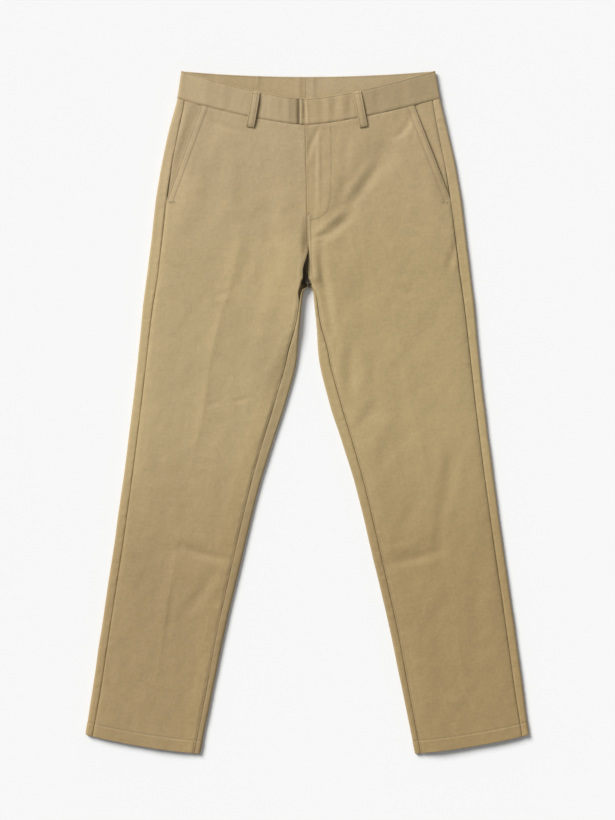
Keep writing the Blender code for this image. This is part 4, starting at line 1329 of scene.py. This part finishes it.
def place_group(tree, name, maker, **inputs):
    """The outputs of a shared group in a material. The group is made the first time it is asked for."""
    made = tree.nodes.new("ShaderNodeGroup")
    made.node_tree = bpy.data.node_groups.get(name) or maker()
    for key, value in inputs.items():
        if isinstance(value, bpy.types.NodeSocket):
            tree.links.new(value, made.inputs[key])
        else:
            made.inputs[key].default_value = value
    return made.outputs


def start_material(name, colour, roughness, metallic=0.0):
    """A material, its node tree, its shader and the place on the object."""
    material = bpy.data.materials.new(name)
    material.use_nodes = True
    tree = material.node_tree
    shader = tree.nodes["Principled BSDF"]
    shader.inputs["Roughness"].default_value = roughness
    shader.inputs["Metallic"].default_value = metallic
    material.diffuse_color = (*colour, 1.0)
    return material, tree, shader, add_node(tree, "ShaderNodeTexCoord").outputs["Object"]


def scaled_colour(tree, colour, factor):
    """A colour made lighter or darker by a factor that changes over the surface."""
    mixed = add_node(tree, "ShaderNodeMix", {"data_type": "RGBA", "blend_type": "MULTIPLY"}, Factor=1.0)
    mixed.inputs[6].default_value = (*colour, 1.0)
    grey = add_node(tree, "ShaderNodeCombineColor", None, Red=factor, Green=factor, Blue=factor)
    tree.links.new(grey.outputs["Color"], mixed.inputs[7])
    return mixed.outputs[2]


# The cloth's tone: how far each of its parts swings it, and the tone of the weave itself.
WEAVE_SWING, WEAVE_TONE, SHADE_SWING = 0.16, 0.88, -0.16
SLUB_SWING, PATCH_SWING, MOTTLE_SWING = 0.26, 0.10, 0.24
# Its bump: the slubs' and the mottle's share beside the weave's own.
SLUB_BUMP, MOTTLE_BUMP = 2.2, 2.4
# Ys in metres over which the painted highlight grows, over the thighs and towards the waist.
THIGH_YS, WAIST_YS = (-0.27, 0.02), (0.20, 0.46)


def cloth_material(name, colour):
    """Washed cotton twill: wales, slubs, soft patches, a paler waist and thighs that are painted highlight,
    and channels darkened by painted shade.
    """
    finish = bpy.context.scene.trouser_finish
    material, tree, shader, place = start_material(name, colour, 0.62)
    uv = add_node(tree, "ShaderNodeUVMap", {"uv_map": "Cloth"}).outputs["UV"]
    weave = place_group(tree, "twill weave", twill_group, Place=uv, Wale=finish.wale)
    slub = place_group(tree, "slub streaks", slub_group, Place=uv)
    cloud = place_group(tree, "washed mottle", cloud_group, Place=place)
    # Shade is painted shade above 0 and painted light below 0, from each piece's seams, stitches, patches
    # and strips.
    shade = add_node(tree, "ShaderNodeAttribute", {"attribute_name": "Shade"}).outputs["Fac"]
    tone = swung(tree, weave["Tone"], WEAVE_SWING, WEAVE_TONE)
    swings = ((slub["Tone"], SLUB_SWING), (cloud["Patches"], PATCH_SWING), (cloud["Mottle"], MOTTLE_SWING))
    for source, swing in swings:
        tone = maths(tree, "MULTIPLY", tone, swung(tree, source, swing, 1.0 - swing / 2))
    tone = maths(tree, "MULTIPLY", tone, swung(tree, shade, SHADE_SWING, 1.0))
    base = scaled_colour(tree, colour, tone)
    parts = add_node(tree, "ShaderNodeSeparateXYZ", None, Vector=place)
    # Painted highlight: the cloth is mixed towards paler colours over the thighs and near the waist.
    for (low, high), paler in ((THIGH_YS, finish.thigh_highlight_colour), (WAIST_YS, finish.waist_highlight_colour)):
        smooth = {"interpolation_type": "SMOOTHSTEP"}
        rise = add_node(tree, "ShaderNodeMapRange", smooth, Value=parts.outputs["Y"], i1=low, i2=high)
        highlight_mix = add_node(tree, "ShaderNodeMix", {"data_type": "RGBA"}, Factor=rise.outputs["Result"])
        tree.links.new(base, highlight_mix.inputs[6])
        tree.links.new(scaled_colour(tree, tuple(paler), tone), highlight_mix.inputs[7])
        base = highlight_mix.outputs[2]
    tree.links.new(base, shader.inputs["Base Color"])
    tree.links.new(swung(tree, cloud["Mottle"], 0.12, finish.cloth_roughness), shader.inputs["Roughness"])
    shader.inputs["Sheen Weight"].default_value = 0.10
    shader.inputs["Sheen Roughness"].default_value = 0.45
    shader.inputs["Sheen Tint"].default_value = (1.0, 0.93, 0.80, 1.0)
    lumps = maths(tree, "ADD", weave["Height"], maths(tree, "MULTIPLY", slub["Tone"], SLUB_BUMP))
    lumps = maths(tree, "ADD", lumps, maths(tree, "MULTIPLY", cloud["Mottle"], MOTTLE_BUMP))
    bumped(tree, shader, lumps, 0.42, 0.0003)
    return material


def bumped(tree, shader, height, strength, distance):
    """Gives the shader the normals of a height."""
    bump = add_node(tree, "ShaderNodeBump", None, Height=height, Strength=strength, Distance=distance)
    tree.links.new(bump.outputs["Normal"], shader.inputs["Normal"])


def thread_material():
    """Matching cotton thread with a fine twist, and dark lenses at the needle holes that are painted
    shadow.
    """
    colour = tuple(bpy.context.scene.trouser_finish.thread_colour)
    material, tree, shader, place = start_material("matching thread", colour, 0.55)
    cloud = place_group(tree, "washed mottle", cloud_group, Place=place, Patch=60.0, Mottle=2600.0)
    hole = add_node(tree, "ShaderNodeAttribute", {"attribute_name": "Hole"}).outputs["Fac"]
    twist = swung(tree, cloud["Mottle"], 0.5, 0.75)
    # The needle holes' lenses are darkened as painted shadow.
    tone = maths(tree, "MULTIPLY", twist, swung(tree, hole, -0.55, 1.0))
    tree.links.new(scaled_colour(tree, colour, tone), shader.inputs["Base Color"])
    bumped(tree, shader, cloud["Mottle"], 0.4, 0.0001)
    shader.inputs["Sheen Weight"].default_value = 0.15
    return material


def brass_material():
    """Antique brass: darker in soft patches, with fine rubbed scratches in its gloss."""
    colour = tuple(bpy.context.scene.trouser_finish.brass_colour)
    material, tree, shader, place = start_material("antique brass", colour, 0.38, 1.0)
    cloud = place_group(tree, "washed mottle", cloud_group, Place=place, Patch=220.0, Mottle=1400.0)
    tone = swung(tree, cloud["Patches"], 0.6, 0.7)
    tree.links.new(scaled_colour(tree, colour, tone), shader.inputs["Base Color"])
    tree.links.new(swung(tree, cloud["Mottle"], 0.25, 0.26), shader.inputs["Roughness"])
    return material


def floor_material():
    """A plain pale surface with the faintest uneven tone."""
    colour = tuple(bpy.context.scene.trouser_stage.floor_colour)
    material, tree, shader, place = start_material("pale surface", colour, 0.9)
    cloud = place_group(tree, "washed mottle", cloud_group, Place=place, Patch=3.0, Mottle=40.0)
    tone = swung(tree, cloud["Patches"], 0.004, 0.998)
    tree.links.new(scaled_colour(tree, colour, tone), shader.inputs["Base Color"])
    shader.inputs["Specular IOR Level"].default_value = 0.0
    return material


def finish_named(name):
    """The material of one finish, made the first time it is asked for."""
    others = {
        "matching thread": thread_material,
        "antique brass": brass_material,
        "pale surface": floor_material,
    }
    found = bpy.data.materials.get(name)
    if found:
        return found
    if name in others:
        return others[name]()
    finish = bpy.context.scene.trouser_finish
    return cloth_material(name, tuple(finish.tape_colour if name == "zip tape" else finish.cloth_colour))


def wall_of(name):
    """One of the wall thicknesses of the sizes, in millimetres."""
    return getattr(bpy.context.scene.trouser_sizes, name) / MM


def place_piece(cloth, node, wall, work=None, finish="khaki twill"):
    """Builds a piece's shell and its stitching, attaches them to the root and hides the solid that it
    stands for.
    """
    made = cloth.build(f"{node}_cloth", finish_named(finish), wall)
    pieces = [work.make(f"{node}_stitching", finish_named("matching thread"))] if work else []
    settle(made, node)


def settle(made, node):
    """Attaches a piece of cloth to the root and hides the solid that it stands for."""
    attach(made, "root")
    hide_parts(node)


def length_of(name, default, description):
    """A length in metres."""
    return bpy.props.FloatProperty(name=name, description=description, default=default, unit="LENGTH")


def colour_of(name, default, description):
    """A colour, in linear red, green and blue."""
    return bpy.props.FloatVectorProperty(
        name=name, description=description, default=default, subtype="COLOR"
    )


def number_of(name, default, description, subtype):
    """A plain number or a share."""
    return bpy.props.FloatProperty(name=name, description=description, default=default, subtype=subtype)


class TrouserSizes(bpy.types.PropertyGroup):
    """Sizes of the cloth and the needlework."""

    wall: length_of("Cloth wall", 0.0011, "Thickness of one layer of cloth")
    band_wall: length_of("Waistband wall", 0.0018, "Thickness of the waistband")
    loop_wall: length_of("Belt loop wall", 0.0014, "Thickness of a belt loop")
    crease_strength: number_of("Creases", 1.0, "Share of the full depth of the creases", "FACTOR")
    stitch_pitch: length_of("Stitch pitch", 0.0033, "From one stitch to the next")
    stitch_length: length_of("Stitch length", 0.0026, "Length of the thread that shows")
    stitch_width: length_of("Thread width", 0.0005, "Thickness of the thread")


class TrouserFinish(bpy.types.PropertyGroup):
    """Colours and surface of the cloth, the thread and the metal."""

    cloth_colour: colour_of("Cloth", (0.353, 0.246, 0.109), "Colour of the twill")
    # The next two cloth colours are painted highlight, near the waist and over the thighs.
    waist_highlight_colour: colour_of("Waist highlight", (0.430, 0.320, 0.167), "Colour of the twill near the waist")
    thigh_highlight_colour: colour_of("Washed cloth", (0.428, 0.319, 0.152), "Colour of the twill over the thighs")
    tape_colour: colour_of("Zip tape", (0.30, 0.22, 0.11), "Colour of the zip's tape")
    thread_colour: colour_of("Thread", (0.44, 0.33, 0.18), "Colour of the sewing thread")
    brass_colour: colour_of("Brass", (0.45, 0.34, 0.18), "Colour of the hook, the bar and the zip")
    wale: length_of("Wale", 0.0009, "Width of one slanting rib of the twill")
    cloth_roughness: number_of("Cloth roughness", 0.56, "Least roughness of the twill", "FACTOR")


class TrouserStage(bpy.types.PropertyGroup):
    """The surface, the light and the camera."""

    floor_colour: colour_of("Surface", (0.880, 0.885, 0.880), "Colour of the pale surface")
    floor_width: length_of("Surface width", 60.0, "Side of the square surface")
    key_strength: number_of("Main light", 3.96, "Strength of the light from the upper left", "UNSIGNED")
    fill_strength: number_of("Fill", 0.30, "Strength of the even light all round", "UNSIGNED")
    camera_height: length_of("Camera height", 3.2, "Height of the camera over the surface")
    frame_height: length_of("Frame height", 1.312, "Length of the surface that the camera takes in")


# The main light's size and lean, the camera's sensor and where it stands up the length of the object.
LIGHT_SIZE, LIGHT_TURN = 28.0, (-35.5, -42.5, 0.0)
SENSOR, CAMERA_Y = 36.0, 0.0035


class OBJECT_OT_trouser_stage(bpy.types.Operator):
    """Build the pale surface, the soft light and the camera straight above."""

    bl_idname = "object.trouser_stage"
    bl_label = "Surface, light and camera"

    def execute(self, context):
        stage = context.scene.trouser_stage
        across = np.linspace(-0.5, 0.5, 9) * stage.floor_width / MM
        x, y = np.meshgrid(across, across)
        points = np.stack([x, y, np.zeros(x.shape)], axis=-1).reshape(-1, 3)
        floor = add_mesh("surface", points, [grid_quads(9, 9)], finish_named("pale surface"))
        world = bpy.data.worlds.new("even fill")
        world.use_nodes = True
        sky = world.node_tree.nodes["Background"]
        sky.inputs["Color"].default_value = (1.0, 1.0, 1.0, 1.0)
        sky.inputs["Strength"].default_value = stage.fill_strength
        context.scene.world = world
        key = bpy.data.lights.new("main light", "SUN")
        key.energy = stage.key_strength
        key.angle = np.radians(LIGHT_SIZE)
        lamp = bpy.data.objects.new("main light", key)
        lamp.rotation_euler = np.radians(LIGHT_TURN)
        context.scene.collection.objects.link(lamp)
        camera = bpy.data.cameras.new("above")
        camera.sensor_width = SENSOR
        camera.lens = SENSOR * stage.camera_height / stage.frame_height
        above = bpy.data.objects.new("above", camera)
        above.location = (0.0, CAMERA_Y, stage.camera_height)
        context.scene.collection.objects.link(above)
        context.scene.camera = above
        context.scene.view_settings.view_transform = "Standard"
        return {"FINISHED"}


class OBJECT_OT_trouser_fronts(bpy.types.Operator):
    """Build both front panels with their creases, seams, hems and needlework."""

    bl_idname = "object.trouser_fronts"
    bl_label = "Front panels"

    def execute(self, context):
        for side, word in WORDS.items():
            cloth = front_cloth(side)
            dress_front(cloth)
            face = cloth.surface()
            work = Needlework()
            rows = cloth.levels
            work.along_rows(cloth, face, INSEAM_ROW, rows < SECTION["below_fork"].level)
            crotch = (rows > CROTCH_LEVEL) & (face.points[:, 0, 1] < FLY_STITCH_FOOT_Y)
            for row in CROTCH_ROWS:
                work.along_rows(cloth, face, row, crotch)
            for row in POCKET_ROWS:
                work.along_rows(cloth, face, row, rows > POCKET_FOOT_LEVEL, True)
            work.across_rows(cloth, face, HEM_TOP)
            if side == LEFT:
                work.over(face, FLY_STITCH)
                for tack in FLY_TACKS:
                    work.bartack(face, *tack)
            work.bartack(face, *SIDE_TACK_ENDS[side])
            place_piece(cloth, f"front_{word}", wall_of("wall"), work)
        return {"FINISHED"}


class OBJECT_OT_trouser_backs(bpy.types.Operator):
    """Build both back panels, round the outer folds and below, with their hems."""

    bl_idname = "object.trouser_backs"
    bl_label = "Back panels"

    def execute(self, context):
        for side, word in WORDS.items():
            cloth = back_cloth(side)
            dress_back(cloth)
            face = cloth.surface()
            work = Needlework()
            work.across_rows(cloth, face, HEM_TOP)
            rows = (cloth.levels > SIDE_ROW_LEVELS[0]) & (cloth.levels < SIDE_ROW_LEVELS[1])
            work.along_rows(cloth, face, SIDE_ROW, rows)
            place_piece(cloth, f"back_{word}", wall_of("wall"), work)
        return {"FINISHED"}


class OBJECT_OT_trouser_facings(bpy.types.Operator):
    """Build the two pocket facings, under the pocket mouths."""

    bl_idname = "object.trouser_facings"
    bl_label = "Pocket facings"

    def execute(self, context):
        for side, word in WORDS.items():
            place_piece(
                facing_cloth(side), f"pocket_facing_{word}", wall_of("wall"),
                finish="facing twill",
            )
        return {"FINISHED"}


class OBJECT_OT_trouser_waistbands(bpy.types.Operator):
    """Build the two halves of the waistband, lapped at the front."""

    bl_idname = "object.trouser_waistbands"
    bl_label = "Waistband"

    def execute(self, context):
        for side, word in WORDS.items():
            cloth = band_cloth(side)
            dress_band(cloth)
            face = cloth.surface()
            work = Needlework()
            work.across_rows(cloth, face, cloth.levels[0] + BAND_ROW)
            work.across_rows(cloth, face, cloth.levels[-1] - BAND_ROW)
            place_piece(cloth, f"waistband_{word}", wall_of("band_wall"), work)
        return {"FINISHED"}


class OBJECT_OT_trouser_loops(bpy.types.Operator):
    """Build the five belt loops. The two at the front are edge-stitched on both sides and tacked at their
    ends.
    """

    bl_idname = "object.trouser_loops"
    bl_label = "Belt loops"

    def execute(self, context):
        loops = [(f"front_{word}", side, FRONT_LOOP_SHARE, True) for side, word in WORDS.items()]
        loops += [(f"back_{word}", side, BACK_LOOP_SHARE, False) for side, word in WORDS.items()]
        loops.append(("back_centre", LEFT, 0.0, False))
        for place, side, share, is_front in loops:
            cloth = loop_cloth(side, share, is_front)
            work = None
            if is_front:
                dress_loop(cloth)
                face = cloth.surface()
                work = Needlework()
                for from_end in (False, True):
                    work.along_rows(cloth, face, LOOP_ROW, cloth.levels > 0, from_end)
                for row in LOOP_TACK_ROWS:
                    start, end = face.points[row][[1, -2]]
                    work.bartack(face, *start[:2], *end[:2])
            place_piece(cloth, f"belt_loop_{place}", wall_of("loop_wall"), work)
        return {"FINISHED"}


class OBJECT_OT_trouser_fly(bpy.types.Operator):
    """Build the fly shield, the zip's tape and its teeth, and finish the slider, the hook and the bar."""

    bl_idname = "object.trouser_fly"
    bl_label = "Fly, zip and hook"

    def execute(self, context):
        shield = fly_cloth(SHIELD_ACROSS, FLY_FOOT_LEVEL, SHIELD_DEPTH, 19)
        place_piece(shield, "fly_shield", SHIELD_CLOTH)
        tape = fly_cloth(ZIP_ACROSS, FLY_FOOT_LEVEL + ZIP_RISE, ZIP_DEPTH, 11)
        made = tape.build("zip_tape_cloth", finish_named("zip tape"), ZIP_CLOTH)
        face = tape.surface()
        work = Needlework()
        work.length, work.width = TOOTH_LENGTH, TOOTH_WIDTH
        start, end = face.points[TEETH_ROWS, 5, :2]
        work.bartack(face, *start, *end, TOOTH_PITCH)
        teeth = work.make("zip_teeth", finish_named("antique brass"), "brass")
        settle(made, "zip_tape")
        for node in ("zip_slider", "waist_hook", "waist_bar"):
            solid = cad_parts[node]
            solid.data.materials.clear()
            solid.data.materials.append(finish_named("antique brass"))
        return {"FINISHED"}


OPERATORS = (
    OBJECT_OT_trouser_stage,
    OBJECT_OT_trouser_fronts,
    OBJECT_OT_trouser_backs,
    OBJECT_OT_trouser_facings,
    OBJECT_OT_trouser_waistbands,
    OBJECT_OT_trouser_loops,
    OBJECT_OT_trouser_fly,
)


GROUPS = {"trouser_sizes": TrouserSizes, "trouser_finish": TrouserFinish, "trouser_stage": TrouserStage}


class VIEW3D_PT_trousers(bpy.types.Panel):
    """Buttons that build the pieces and the stage, and the settings that they use."""

    bl_label = "Trousers"
    bl_space_type = "VIEW_3D"
    bl_region_type = "UI"
    bl_category = "Trousers"

    def draw(self, context):
        for operator in OPERATORS:
            self.layout.operator(operator.bl_idname)
        for name, group in GROUPS.items():
            for key in group.__annotations__:
                self.layout.prop(getattr(context.scene, name), key)


CLASSES = (*GROUPS.values(), *OPERATORS, VIEW3D_PT_trousers)


def register():
    """Adds the classes and the scene's settings."""
    for each in CLASSES:
        bpy.utils.register_class(each)
    for name, group in GROUPS.items():
        setattr(bpy.types.Scene, name, bpy.props.PointerProperty(type=group))


def unregister():
    """Takes the scene's settings and the classes away again."""
    for name in GROUPS:
        delattr(bpy.types.Scene, name)
    for each in reversed(CLASSES):
        bpy.utils.unregister_class(each)


def main():
    """Registers the classes and builds everything."""
    register()
    for operator in OPERATORS:
        group, name = operator.bl_idname.split(".")
        getattr(getattr(bpy.ops, group), name)()
    bpy.context.view_layer.update()


if __name__ == "__main__":
    main()
